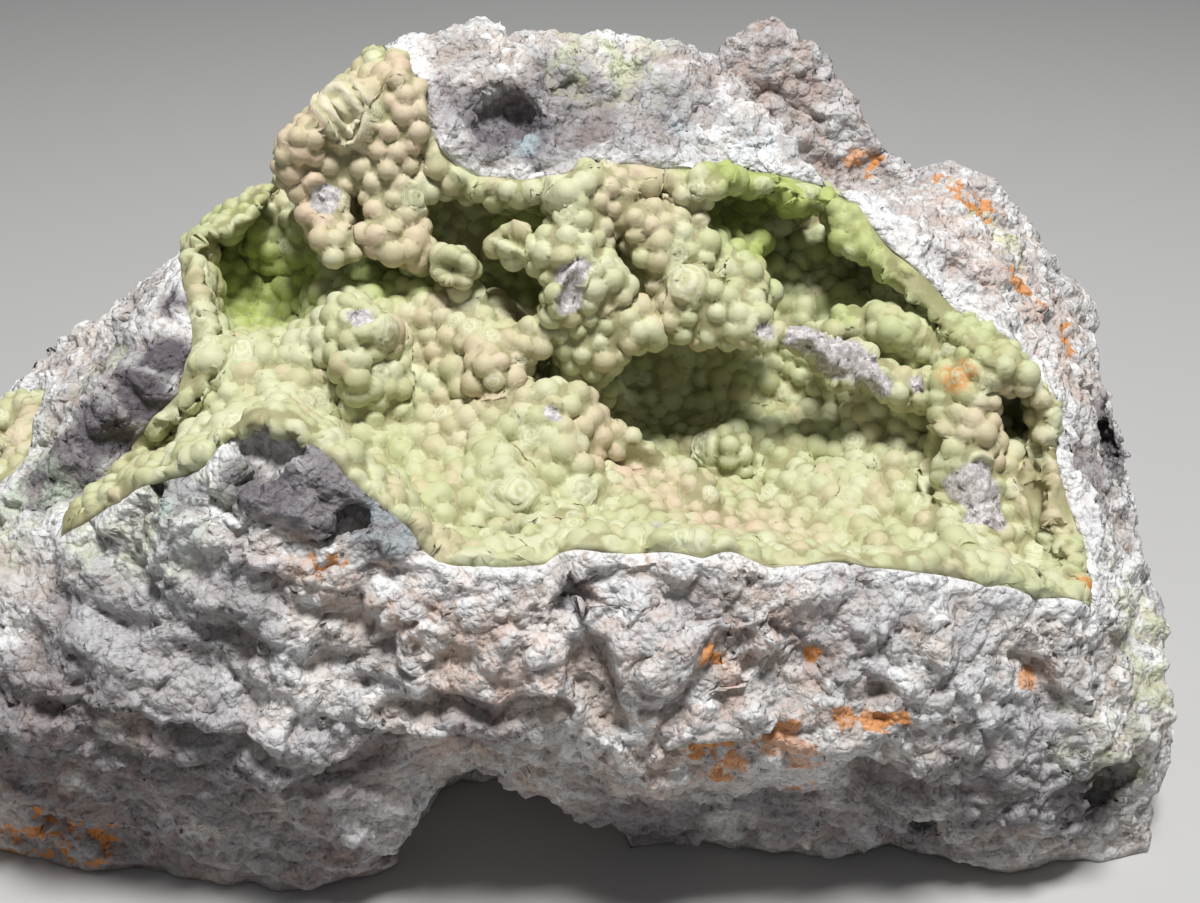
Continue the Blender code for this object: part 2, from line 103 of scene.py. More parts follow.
def soft_noise(points: np.ndarray, size: float, seed: int) -> np.ndarray:
    """Smooth noise: random numbers at the corners of a cubic lattice, blended between them.

    Args:
        points: Places in millimetres.
        size: The lattice's pitch.
        seed: Chooses another pattern.

    Returns:
        Numbers from -1 to 1.
    """
    place = points / size
    cell = np.floor(place)
    part = place - cell
    part = part * part * (3.0 - 2.0 * part)
    total = np.zeros(len(points))
    for corner in np.ndindex(2, 2, 2):
        weight = np.prod(np.where(np.array(corner) == 1, part, 1.0 - part), axis=1)
        total += weight * cell_random(cell + np.array(corner), seed)
    return total * 2.0 - 1.0


def rough_noise(points: np.ndarray, size: float, seed: int, layers: int = 4) -> np.ndarray:
    """Sum of layers of smooth noise, each half the size and a share of the strength of the last.

    Args:
        points: Places in millimetres.
        size: Pitch of the coarsest layer.
        seed: Chooses another pattern.
        layers: How many layers are added.

    Returns:
        Numbers from about -1 to 1.
    """
    total = np.zeros(len(points))
    strength, whole = 1.0, 0.0
    for layer in range(layers):
        total += strength * soft_noise(points, size / 2**layer, seed + 31 * layer)
        whole += strength
        strength *= LAYER_SHARE
    return total / whole * LAYER_GAIN


def chunk_noise(points: np.ndarray, size: float, seed: int) -> tuple[np.ndarray, np.ndarray]:
    """Broken chunks: space is shared out among scattered centres, and each has a level and a lean.

    Args:
        points: Places in millimetres.
        size: Mean distance between centres.
        seed: Chooses another pattern.

    Returns:
        The height of each point's own chunk, about -1 to 1, and its distance from the next
        chunk as a share of size.
    """
    level_share, lean_share, far = 0.7, 1.5, 9.0
    place = points / size
    cell = np.floor(place)
    first = np.full(len(points), far)
    second = np.full(len(points), far)
    owner = np.zeros_like(cell)
    middle = np.zeros_like(place)
    for step in NEIGHBOURS:
        other = cell + step
        centre = other + np.stack([cell_random(other, seed + axis) for axis in (1, 2, 3)], axis=1)
        away = np.sqrt(((place - centre) ** 2).sum(axis=1))
        nearer = away < first
        second = np.where(nearer, first, np.minimum(second, away))
        first = np.where(nearer, away, first)
        owner = np.where(nearer[:, None], other, owner)
        middle = np.where(nearer[:, None], centre, middle)
    level = cell_random(owner, seed + 4) * 2.0 - 1.0
    lean = np.stack([cell_random(owner, seed + axis) for axis in (5, 6, 7)], axis=1) * 2.0 - 1.0
    tilt = ((place - middle) * lean).sum(axis=1)
    return level * level_share + tilt * lean_share, second - first


def ease(values: np.ndarray, low: float, high: float) -> np.ndarray:
    """Smooth step from 0 at low to 1 at high."""
    part = np.clip((values - low) / (high - low), 0.0, 1.0)
    return part * part * (3.0 - 2.0 * part)


def patches(points: np.ndarray, spots: Spots) -> np.ndarray:
    """Strength of soft patches: each is full at its centre and falls to 0 past its radius.

    The distance from the centre, as a share of the radius, has noise added to it, which frays
    the patch's edge.

    Args:
        points: Places in millimetres.
        spots: Centre x, y and z, radius, and optionally a strength, of each patch.

    Returns:
        The strongest patch's share at each point.
    """
    reach, edge = 1.25, 0.7
    total = np.zeros(len(points))
    wander = rough_noise(points, 5.0, 977, 3) * 0.45
    for spot in spots:
        strength = spot[4] if len(spot) > 4 else 1.0
        away = np.sqrt(((points - np.array(spot[:3])) ** 2).sum(axis=1)) / spot[3]
        total = np.maximum(total, strength * ease(reach - away + wander, 0.0, edge))
    return total


def wandered(points: np.ndarray) -> np.ndarray:
    """Shifts points by smooth noise along each axis, so that straight edges of the solids wander.

    The shift depends on the place alone, so two surfaces that meet still meet. It keeps the
    height of what lies near the floor.

    Args:
        points: Places in millimetres.

    Returns:
        The shifted places.
    """
    broad, small = 1.25, 0.45
    axes = range(3)
    shift = np.stack([rough_noise(points, 10.0, 301 + axis, 3) * broad for axis in axes], axis=1)
    shift += np.stack([soft_noise(points, 3.0, 321 + axis) * small for axis in axes], axis=1)
    shift[:, 2] *= ease(points[:, 2], 0.3, 9.0)
    return points + shift


# ---------------------------------------------------------------- neighbours without a loop


def near_pairs(
    points: np.ndarray, others: np.ndarray, reach: float
) -> tuple[np.ndarray, np.ndarray]:
    """Finds which points lie near which others, through a sorted grid of cells of side reach.

    Args:
        points: Places in millimetres.
        others: Places in millimetres.
        reach: The largest distance that counts as near.

    Returns:
        Two arrays of the same length, the numbers of a point and of the other near it.
    """
    low = np.minimum(points.min(axis=0), others.min(axis=0)) - 2.0 * reach
    high = np.maximum(points.max(axis=0), others.max(axis=0)) + 2.0 * reach
    span = np.floor((high - low) / reach).astype(np.int64) + 2

    def number(cells: np.ndarray) -> np.ndarray:
        """One whole number for each cell of the grid."""
        return (cells[:, 0] * span[1] + cells[:, 1]) * span[2] + cells[:, 2]

    own = np.floor((points - low) / reach).astype(np.int64)
    theirs = number(np.floor((others - low) / reach).astype(np.int64))
    order = np.argsort(theirs, kind="stable")
    sorted_cells = theirs[order]
    rows, columns = [], []
    for step in NEIGHBOURS:
        wanted = number(own + step)
        start = np.searchsorted(sorted_cells, wanted, "left")
        amount = np.searchsorted(sorted_cells, wanted, "right") - start
        row = np.repeat(np.arange(len(points)), amount)
        inside = np.arange(amount.sum()) - np.repeat(np.cumsum(amount) - amount, amount)
        column = order[np.repeat(start, amount) + inside]
        near = ((points[row] - others[column]) ** 2).sum(axis=1) < reach * reach
        rows.append(row[near])
        columns.append(column[near])
    return np.concatenate(rows), np.concatenate(columns)


def nearness(points: np.ndarray, others: np.ndarray, reach: float) -> np.ndarray:
    """Distance from each point to the nearest other, or reach where none is as near.

    Args:
        points: Places in millimetres.
        others: Places in millimetres.
        reach: The largest distance at which another is looked for.

    Returns:
        One distance a point.
    """
    row, column = near_pairs(points, others, reach)
    away = np.sqrt(((points[row] - others[column]) ** 2).sum(axis=1))
    best = np.full(len(points), reach)
    np.minimum.at(best, row, away)
    return best


def cover(points: np.ndarray, others: np.ndarray, normals: np.ndarray, reach: float) -> np.ndarray:
    """Height of each point over a surface: its distance from the plane of the nearest other.

    Args:
        points: Places in millimetres.
        others: Places on the surface.
        normals: The surface's directions there.
        reach: The largest distance at which the surface is looked for.

    Returns:
        The height without its sign, or reach where the surface is farther.
    """
    row, column = near_pairs(points, others, reach)
    away = ((points[row] - others[column]) ** 2).sum(axis=1)
    best = np.full(len(points), reach * reach)
    np.minimum.at(best, row, away)
    nearest = away <= best[row]
    height = np.full(len(points), reach)
    between = points[row[nearest]] - others[column[nearest]]
    height[row[nearest]] = np.abs((between * normals[column[nearest]]).sum(axis=1))
    return height


def grooves(places: np.ndarray, cuts: Spots, lip: float) -> np.ndarray:
    """Depth of round-ended grooves, with a raised lip round each.

    A groove is all that lies within its radius of a segment, so the distance is taken to the
    nearest place on the segment. A depth below zero makes a raised knob instead.

    Args:
        places: Places in millimetres.
        cuts: Both ends of each segment, the radius and the depth.
        lip: Height of the lips.

    Returns:
        Height of each place, below zero in a groove and above it on a lip.
    """
    flare, crest, crest_width = 1.5, 1.25, 0.25
    total = np.zeros(len(places))
    for cut in cuts:
        start, end, radius, depth = np.array(cut[:3]), np.array(cut[3:6]), cut[6], cut[7]
        along = end - start
        share = np.clip((places - start) @ along / max(along @ along, 1e-9), 0.0, 1.0)
        away = np.sqrt(((places - start - share[:, None] * along) ** 2).sum(axis=1))
        away = away / (radius * flare)
        raised = lip * np.exp(-(((away - crest) / crest_width) ** 2))
        total += raised - depth * (1.0 - ease(away, 0.55, 1.05))
    return total


def spread(points: np.ndarray, spacing: float, seed: int) -> np.ndarray:
    """Picks points that keep a spacing: in each round, each that outranks its neighbours stays.

    Args:
        points: Places to pick from, in millimetres.
        spacing: The least distance between two that are picked.
        seed: Chooses another order of ranks.

    Returns:
        The numbers of the picked points.
    """
    rounds = 12
    rank = np.random.default_rng(seed).permutation(len(points)).astype(float)
    row, column = near_pairs(points, points, spacing)
    apart = row != column
    row, column = row[apart], column[apart]
    free = np.ones(len(points), dtype=bool)
    picked = np.zeros(len(points), dtype=bool)
    for _ in range(rounds):
        rival = np.full(len(points), -1.0)
        np.maximum.at(rival, row, np.where(free[column], rank[column], -1.0))
        new = free & (rank > rival)
        if not new.any():
            break
        picked |= new
        free &= ~new
        free[row[new[column]]] = False
    return np.flatnonzero(picked)


# ---------------------------------------------------------------- a surface of triangles


Target = Callable[[np.ndarray, dict[str, np.ndarray]], np.ndarray]


@dataclass
class Skin:
    """A closed surface of triangles, with numbers kept for each point while it is split.

    Attributes:
        points: Places in millimetres, one row a point.
        faces: Three point numbers a triangle, going round so that it faces outwards.
        marks: Named numbers, one a point, blended where an edge is split.
    """

    points: np.ndarray
    faces: np.ndarray
    marks: dict[str, np.ndarray] = field(default_factory=dict)

    @classmethod
    def of_node(cls, node: str) -> "Skin":
        """Reads a solid's loose triangles and merges the corners that share a place.

        Args:
            node: The solid's name in the frame.

        Returns:
            The merged surface.
        """
        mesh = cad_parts[node].data
        places = np.empty(len(mesh.vertices) * 3)
        mesh.vertices.foreach_get("co", places)
        places = places.reshape(-1, 3) * MM
        mesh.calc_loop_triangles()
        corners = np.empty(len(mesh.loop_triangles) * 3, dtype=np.int32)
        mesh.loop_triangles.foreach_get("vertices", corners)
        keys = np.round(places * MERGE_PER_MM).astype(np.int64)
        _, first, back = np.unique(keys, axis=0, return_index=True, return_inverse=True)
        faces = back.reshape(-1)[corners].reshape(-1, 3)
        whole = (faces != np.roll(faces, 1, axis=1)).all(axis=1)
        return cls(places[first], faces[whole])

    def edges(self) -> tuple[np.ndarray, np.ndarray]:
        """Lists each edge once.

        Returns:
            The edges as pairs of point numbers, and each face's three edge numbers.
        """
        pairs = np.stack([self.faces, np.roll(self.faces, -1, axis=1)], axis=2).reshape(-1, 2)
        pairs = np.sort(pairs, axis=1).astype(np.int64)
        code = pairs[:, 0] * len(self.points) + pairs[:, 1]
        once, back = np.unique(code, return_inverse=True)
        ends = np.stack([once // len(self.points), once % len(self.points)], axis=1)
        return ends, back.reshape(-1, 3)

    def normals(self) -> np.ndarray:
        """Works out directions at the points: the sum of the cross products of their faces.

        Returns:
            Outward directions of length 1, one a point.
        """
        a, b, c = (self.points[self.faces[:, corner]] for corner in range(3))
        across = np.cross(b - a, c - a)
        total = np.zeros_like(self.points)
        for axis in range(3):
            share = np.repeat(across[:, axis], 3)
            total[:, axis] = np.bincount(self.faces.ravel(), share, len(self.points))
        return total / np.maximum(np.linalg.norm(total, axis=1, keepdims=True), 1e-12)

    def smoothed(self, rounds: int, hold: np.ndarray) -> "Skin":
        """Moves each point half way to its neighbours' mean and then back out again.

        Args:
            rounds: How many times this is done.
            hold: Share of each move that a point takes.

        Returns:
            The smoother surface.
        """
        ends, _ = self.edges()
        one, two = ends.T
        size = len(self.points)
        count = np.maximum(np.bincount(one, minlength=size) + np.bincount(two, minlength=size), 1)
        places = self.points.copy()
        for _ in range(rounds):
            for step in (0.5, -0.5 * BACK_OUT):
                mean = np.empty_like(places)
                for axis in range(3):
                    total = np.bincount(one, places[two, axis], size)
                    total += np.bincount(two, places[one, axis], size)
                    mean[:, axis] = total / count
                places += step * hold[:, None] * (mean - places)
        return Skin(places, self.faces, self.marks)

    def split_once(self, target: Target) -> tuple["Skin", bool]:
        """Halves each edge that is too long, and the longest edge of each face that is touched.

        A face with its longest edge v0-v1 halved at m becomes (v0, m, v2) and (m, v1, v2), and
        each of those is halved again where its own outer edge is halved too.

        Args:
            target: Gives the wished edge length from edge middles and their blended marks.

        Returns:
            The split surface, and whether anything was split.
        """
        ends, sides = self.edges()
        one, two = self.points[ends[:, 0]], self.points[ends[:, 1]]
        length = np.linalg.norm(one - two, axis=1)
        blended = {name: values[ends].mean(axis=1) for name, values in self.marks.items()}
        cut = length > TOO_LONG * target((one + two) / 2.0, blended)
        if not cut.any():
            return self, False
        longest = length[sides].argmax(axis=1)
        rows = np.arange(len(self.faces))
        while True:
            touched = cut[sides].any(axis=1)
            also = sides[rows, longest][touched]
            if cut[also].all():
                break
            cut[also] = True
        number = np.full(len(ends), -1)
        number[cut] = len(self.points) + np.arange(cut.sum())
        turn = (longest[touched][:, None] + np.arange(3)) % 3
        picked = rows[touched][:, None]
        v0, v1, v2 = self.faces[picked, turn].T
        m, right, left = number[sides[picked, turn]].T
        new = [self.faces[~touched]]
        for apart, whole, halves in (
            (left, (v0, m, v2), ((v0, m, left), (left, m, v2))),
            (right, (m, v1, v2), ((m, v1, right), (m, right, v2))),
        ):
            new.append(np.stack(whole, axis=1)[apart < 0])
            new += [np.stack(half, axis=1)[apart >= 0] for half in halves]
        places = np.concatenate([self.points, ((one + two) / 2.0)[cut]])
        marks = {
            name: np.concatenate([values, blended[name][cut]])
            for name, values in self.marks.items()
        }
        return Skin(places, np.concatenate(new), marks), True

    def split(self, target: Target) -> "Skin":
        """Splits until no edge is much longer than the target, or twelve times.

        Args:
            target: Gives the wished edge length from edge middles and their blended marks.

        Returns:
            The split surface.
        """
        skin = self
        for _ in range(12):
            skin, more = skin.split_once(target)
            if not more:
                break
        return skin

    def evenly_split(self, length: float) -> "Skin":
        """Splits until no edge is much longer than a length."""
        return self.split(lambda middle, marks: np.full(len(middle), length))

    def raised(self, height: np.ndarray, along: np.ndarray) -> "Skin":
        """Moves each point by a height along its direction."""
        return Skin(self.points + along * height[:, None], self.faces, self.marks)

    def on_floor(self) -> "Skin":
        """Lifts what lies under the floor, which is at height 0, to the floor.

        Returns:
            The lifted surface.
        """
        places = self.points.copy()
        places[:, 2] = np.maximum(places[:, 2], 0.0)
        return Skin(places, self.faces, self.marks)

    def to_object(
        self, name: str, material: bpy.types.Material, slot: Slot, node: str
    ) -> bpy.types.Object:
        """Writes the surface as a mesh piece that rides on the object and stands for a solid.

        Args:
            name: The piece's name.
            material: Its finish.
            slot: Its slot in the record; not used.
            node: The solid that it stands for.

        Returns:
            The new piece.
        """
        mesh = bpy.data.meshes.new(name)
        mesh.vertices.add(len(self.points))
        mesh.vertices.foreach_set("co", (self.points / MM).ravel())
        mesh.loops.add(len(self.faces) * 3)
        mesh.loops.foreach_set("vertex_index", self.faces.ravel().astype(np.int32))
        mesh.polygons.add(len(self.faces))
        mesh.polygons.foreach_set("loop_start", np.arange(len(self.faces), dtype=np.int32) * 3)
        mesh.update(calc_edges=True)
        mesh.shade_smooth()
        for label, values in self.marks.items():
            layer = mesh.attributes.new(label, "FLOAT", "POINT")
            layer.data.foreach_set("value", values.astype(np.float32))
        mesh.materials.append(material)
        piece = bpy.data.objects.new(name, mesh)
        bpy.context.scene.collection.objects.link(piece)
        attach(piece, BODY)
        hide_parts(node)
        log.info("%s: %d triangles", name, len(self.faces))
        return piece


# ---------------------------------------------------------------- shader maths


class Wire:
    """A shader socket that adds Math nodes when it is used in an expression."""

    def __init__(self, bench: "Bench", socket: Any) -> None:
        """Keeps the socket and the node tree that it belongs to."""
        self.bench = bench
        self.socket = socket

    def math(self, operation: str, *others: Any) -> "Wire":
        """Adds one Math node with this value first."""
        return self.bench.node("ShaderNodeMath", {"operation": operation}, (self, *others))

    def __add__(self, other: Any) -> "Wire":
        """Sum of two values."""
        return self.math("ADD", other)

    __radd__ = __add__

    def __mul__(self, other: Any) -> "Wire":
        """Product of two values."""
        return self.math("MULTIPLY", other)

    __rmul__ = __mul__

    def __sub__(self, other: Any) -> "Wire":
        """This value less another."""
        return self.math("SUBTRACT", other)

    def __rsub__(self, other: Any) -> "Wire":
        """Another value less this one."""
        return self.bench.node("ShaderNodeMath", {"operation": "SUBTRACT"}, (other, self))

    def step(self, low: float, high: float) -> "Wire":
        """Smooth step from 0 at low to 1 at high."""
        values = {"Value": self, "From Min": low, "From Max": high}
        return self.bench.node("ShaderNodeMapRange", {"interpolation_type": "SMOOTHSTEP"}, values)


class Bench:
    """A material's node tree, with one method that adds any node."""

    def __init__(self, name: str) -> None:
        """Makes an empty material with a Principled shader and an output.

        Args:
            name: The material's name.
        """
        self.material = bpy.data.materials.new(name)
        self.material.use_nodes = True
        self.tree = self.material.node_tree
        self.tree.nodes.clear()
        self.shader = self.tree.nodes.new("ShaderNodeBsdfPrincipled")
        output = self.tree.nodes.new("ShaderNodeOutputMaterial")
        self.tree.links.new(self.shader.outputs["BSDF"], output.inputs["Surface"])
        coordinates = self.tree.nodes.new("ShaderNodeTexCoord")
        self.place = Wire(self, coordinates.outputs["Object"])

    def feed(self, socket: Any, value: Any) -> None:
        """Links a wire to a socket, or sets the socket's own value.

        Args:
            socket: The socket that is fed.
            value: A wire, a number, or three numbers for a colour or a place.
        """
        if isinstance(value, Wire):
            self.tree.links.new(value.socket, socket)
        elif isinstance(value, tuple) and len(value) == 3 and len(socket.default_value) == 4:
            socket.default_value = (*value, 1.0)
        else:
            socket.default_value = value

    def node(
        self, kind: str, settings: dict[str, Any], values: Any, output: str | int = 0
    ) -> Wire:
        """Adds a node.

        Args:
            kind: The node's type.
            settings: Its settings, which are set first.
            values: Values or wires of its sockets, in order or by name or number.
            output: Which output is given back.

        Returns:
            A wire from the chosen output.
        """
        node = self.tree.nodes.new(kind)
        for label, value in settings.items():
            setattr(node, label, value)
        pairs = values.items() if isinstance(values, dict) else enumerate(values)
        for label, value in pairs:
            self.feed(node.inputs[label], value)
        return Wire(self, node.outputs[output])

    def mark(self, name: str) -> Wire:
        """Reads a named number that the mesh keeps for each point."""
        settings = {"attribute_type": "GEOMETRY", "attribute_name": name}
        return self.node("ShaderNodeAttribute", settings, {}, "Fac")

    def mix(self, share: Any, first: Any, second: Any) -> Wire:
        """Blends two colours by a share, which is held between 0 and 1."""
        settings = {"data_type": "RGBA", "clamp_factor": True}
        return self.node("ShaderNodeMix", settings, {0: share, 6: first, 7: second}, 2)

    def noise(self, size_mm: float, detail: float, rough: float, shift: float = 0.0) -> Wire:
        """Adds noise from 0 to 1.

        Args:
            size_mm: About how wide its features are.
            detail: How many finer layers it has.
            rough: How strong the finer layers are.
            shift: Moves it in metres, so that two noises of one size differ.

        Returns:
            A wire from the noise.
        """
        values = {"Scale": MM / size_mm, "Detail": detail, "Roughness": rough, "Distortion": 0.2}
        place = self.place
        if shift:
            moved = {"Vector": place, "Location": (shift, -shift, shift)}
            place = self.node("ShaderNodeMapping", {}, moved)
        return self.node("ShaderNodeTexNoise", {}, {"Vector": place, **values})

    def pebbles(self, size_mm: float, feature: str, output: str) -> Wire:
        """Adds cells with wavy sides: a noise moves each place before the cells are looked up.

        Args:
            size_mm: About how wide the cells are.
            feature: Whether distances run from the cells' centres or from their sides.
            output: Gives the distances or the cells' random colours.

        Returns:
            A wire from the chosen output.
        """
        wave = self.node("ShaderNodeTexNoise", {}, {"Vector": self.place, "Scale": MM / size_mm}, 1)
        half, stretch = (0.5, 0.5, 0.5), 0.7 * size_mm / MM
        for operation, values in (
            ("SUBTRACT", {1: half}),
            ("SCALE", {"Scale": stretch}),
            ("ADD", {1: self.place}),
        ):
            wave = self.node("ShaderNodeVectorMath", {"operation": operation}, {0: wave, **values})
        values = {"Vector": wave, "Scale": MM / size_mm}
        return self.node("ShaderNodeTexVoronoi", {"feature": feature}, values, output)

    def bump(
        self, height: Wire, depth_mm: float, strength: float, under: Wire | None = None
    ) -> Wire:
        """Turns a height into a shading normal.

        Args:
            height: The height, from 0 to 1.
            depth_mm: How far 1 stands over 0.
            strength: Share of the slope that is shown.
            under: A normal that this one is laid on, or nothing.

        Returns:
            A wire from the normal.
        """
        values = {"Strength": strength, "Distance": depth_mm / MM, "Height": height}
        if under is not None:
            values["Normal"] = under
        return self.node("ShaderNodeBump", {}, values)


@dataclass(frozen=True)
class RockFinish:
    """Dull broken rock: pale grain with grey, rosy, rusty and green patches, with painted shade low
    on the front, under overhangs and in grooves, and painted highlights on raised chunks.
    """

    pale: Colour = (0.66, 0.65, 0.635)
    grain: Colour = (0.43, 0.42, 0.42)
    chalk: Colour = (0.85, 0.86, 0.865)
    # Darker brown for the dark joints between grains, and for painted shade under overhangs and in
    # grooves.
    dirt_and_painted_shade_brown: Colour = (0.36, 0.285, 0.24)
    # Near-black for the dark patches: the rock's own dark grey, and painted shade on the low front
    # slab.
    shadow: Colour = (0.12, 0.105, 0.12)
    beige: Colour = (0.66, 0.575, 0.50)
    rose: Colour = (0.62, 0.46, 0.38)
    rust: Colour = (0.62, 0.24, 0.05)
    green: Colour = (0.60, 0.65, 0.38)
    blue: Colour = (0.50, 0.64, 0.67)
    roughness: float = 0.92
    pebble_mm: float = 1.9
    crumb_mm: float = 0.8

    def material(self) -> bpy.types.Material:
        """Builds the finish from noise on the object's own coordinates and the mesh's marks.

        Returns:
            The new material.
        """
        bench = Bench("broken_rock")
        large = bench.noise(14.0, 5.0, 0.6)
        middle = bench.noise(3.2, 5.0, 0.65, 3.0)
        fine = bench.noise(0.8, 4.0, 0.7, 7.0)
        beige = bench.noise(7.0, 4.0, 0.6, 11.0)
        pebble = bench.pebbles(self.pebble_mm, "F1", "Distance")
        crumb = bench.pebbles(self.crumb_mm, "F1", "Distance")
        side = bench.pebbles(self.pebble_mm, "DISTANCE_TO_EDGE", "Distance")
        crack = 1.0 - side.step(0.0, 0.10)
        chip = bench.pebbles(self.pebble_mm, "F1", "Color")
        chip = bench.node("ShaderNodeSeparateColor", {}, {"Color": chip})
        colour = bench.mix(middle.step(0.40, 0.64), self.pale, self.grain)
        colour = bench.mix(large.step(0.46, 0.62) * 0.6, colour, self.grain)
        colour = bench.mix(beige.step(0.48, 0.64) * 0.7, colour, self.beige)
        colour = bench.mix((1.0 - chip).step(0.55, 1.0) * 0.55, colour, self.grain)
        colour = bench.mix(chip.step(0.5, 1.0) * 0.65, colour, self.chalk)
        # Painted highlight: raised chunks are painted chalk-pale.
        colour = bench.mix(bench.mark("high") * 0.5, colour, self.chalk)
        colour = bench.mix(fine.step(0.52, 0.72) * 0.45, colour, self.chalk)
        colour = bench.mix(crack * middle.step(0.3, 0.6) * 0.5, colour, self.dirt_and_painted_shade_brown)
        # Painted shade: downward-facing faces and groove bottoms are painted darker brown, and the
        # sunken lines between chunks darken the same way.
        colour = bench.mix(bench.mark("low") * (0.2 + middle * 0.9), colour, self.dirt_and_painted_shade_brown)
        colour = bench.mix(bench.mark("rose") * middle.step(0.42, 0.62) * 0.7, colour, self.rose)
        # Painted shade: the dark patches low on the front slab and under its overhangs stand for
        # shade; those on the flank and roof are dark grey rock.
        colour = bench.mix(bench.mark("dark") * (0.45 + fine * 0.9), colour, self.shadow)
        colour = bench.mix(bench.mark("green") * middle.step(0.40, 0.62) * 0.55, colour, self.green)
        colour = bench.mix(bench.mark("blue") * middle.step(0.42, 0.60) * 0.6, colour, self.blue)
        stain = bench.mark("rust") * 0.8 + (chip - 0.5) * 0.7
        stain = (stain + (middle - 0.5) * 1.3 + (fine - 0.5) * 0.9).step(0.44, 0.60)
        colour = bench.mix(stain * bench.mark("rust").step(0.05, 0.4) * 0.85, colour, self.rust)
        colour = bench.mix(bench.mark("chalk") * fine.step(0.3, 0.6) * 0.75, colour, self.chalk)
        bench.feed(bench.shader.inputs["Base Color"], colour)
        bench.feed(bench.shader.inputs["Roughness"], self.roughness)
        bench.feed(bench.shader.inputs["Specular IOR Level"], 0.25)
        normal = bench.bump(1.0 - pebble, 0.9, 0.85)
        normal = bench.bump(1.0 - crumb, 0.35, 0.8, normal)
        normal = bench.bump(bench.noise(0.9, 5.0, 0.7, 5.0), 0.4, 0.7, normal)
        bench.feed(bench.shader.inputs["Normal"], normal)
        return bench.material


@dataclass(frozen=True)
class CrustFinish:
    """Matt to waxy lumps, yellow-green with paler and beige lumps; the creases between lumps get
    painted shade, and the backs of the chambers a darker green that is partly painted shade.
    """

    body: Colour = (0.46, 0.475, 0.26)
    deep: Colour = (0.37, 0.43, 0.13)
    pale: Colour = (0.60, 0.60, 0.42)
    warm: Colour = (0.57, 0.45, 0.32)
    # Painted shade colour for the creases between lumps.
    crease: Colour = (0.21, 0.21, 0.085)
    core: Colour = (0.36, 0.33, 0.33)
    core_light: Colour = (0.62, 0.59, 0.58)
    core_dark: Colour = (0.13, 0.11, 0.115)
    ring_light: Colour = (0.66, 0.66, 0.50)
    rust: Colour = (0.55, 0.20, 0.03)
    roughness: float = 0.58

    def material(self) -> bpy.types.Material:
        """Builds the finish from each lump's own tone, its height and the named zones.

        Returns:
            The new material.
        """
        bench = Bench("lumpy_crust")
        tone = bench.mark("tone")
        large = bench.noise(9.0, 4.0, 0.6)
        fine = bench.noise(0.9, 4.0, 0.65, 4.0)
        colour = bench.mix(tone.step(0.2, 1.0) * 0.7, self.body, self.pale)
        colour = bench.mix((1.0 - tone).step(0.72, 1.0) * 0.55, colour, self.warm)
        # Darker, deeper green at the back of the chambers: partly the crust's own deeper green,
        # partly painted shade of the recesses.
        colour = bench.mix(bench.mark("deep"), colour, self.deep)
        colour = bench.mix(bench.mark("warm") * (0.6 + tone * 0.6), colour, self.warm)
        colour = bench.mix(large.step(0.5, 0.75) * 0.35, colour, self.pale)
        # Painted shade: darker where the height mark is low, in the creases between lumps and in
        # the slots.
        colour = bench.mix((1.0 - bench.mark("height").step(0.0, 0.8)) * 0.65, colour, self.crease)
        colour = bench.mix(fine.step(0.5, 0.8) * 0.3, colour, self.pale)
        ring = bench.mark("ring")
        waves = (ring * RING_WAVES).math("SINE") * 0.5 + 0.5
        ringed = bench.mix(waves, self.body, self.ring_light)
        colour = bench.mix(ring.step(0.02, 0.1) * 0.6, colour, ringed)
        speck = bench.noise(0.7, 4.0, 0.7, 9.0).step(0.42, 0.62)
        speck = bench.mix(speck, self.core, self.core_light)
        speck = bench.mix(bench.noise(1.6, 3.0, 0.6, 2.0).step(0.56, 0.66), speck, self.core_dark)
        colour = bench.mix(bench.mark("core").step(0.35, 0.65), colour, speck)
        colour = bench.mix(bench.mark("rim") * 0.5, colour, self.pale)
        colour = bench.mix(bench.mark("rust") * fine.step(0.35, 0.6), colour, self.rust)
        bench.feed(bench.shader.inputs["Base Color"], colour)
        bench.feed(bench.shader.inputs["Roughness"], self.roughness)
        bench.feed(bench.shader.inputs["Specular IOR Level"], 0.35)
        normal = bench.bump(bench.noise(0.9, 5.0, 0.7, 6.0), 0.16, 0.7)
        bench.feed(bench.shader.inputs["Normal"], normal)
        return bench.material


# ---------------------------------------------------------------- the pieces


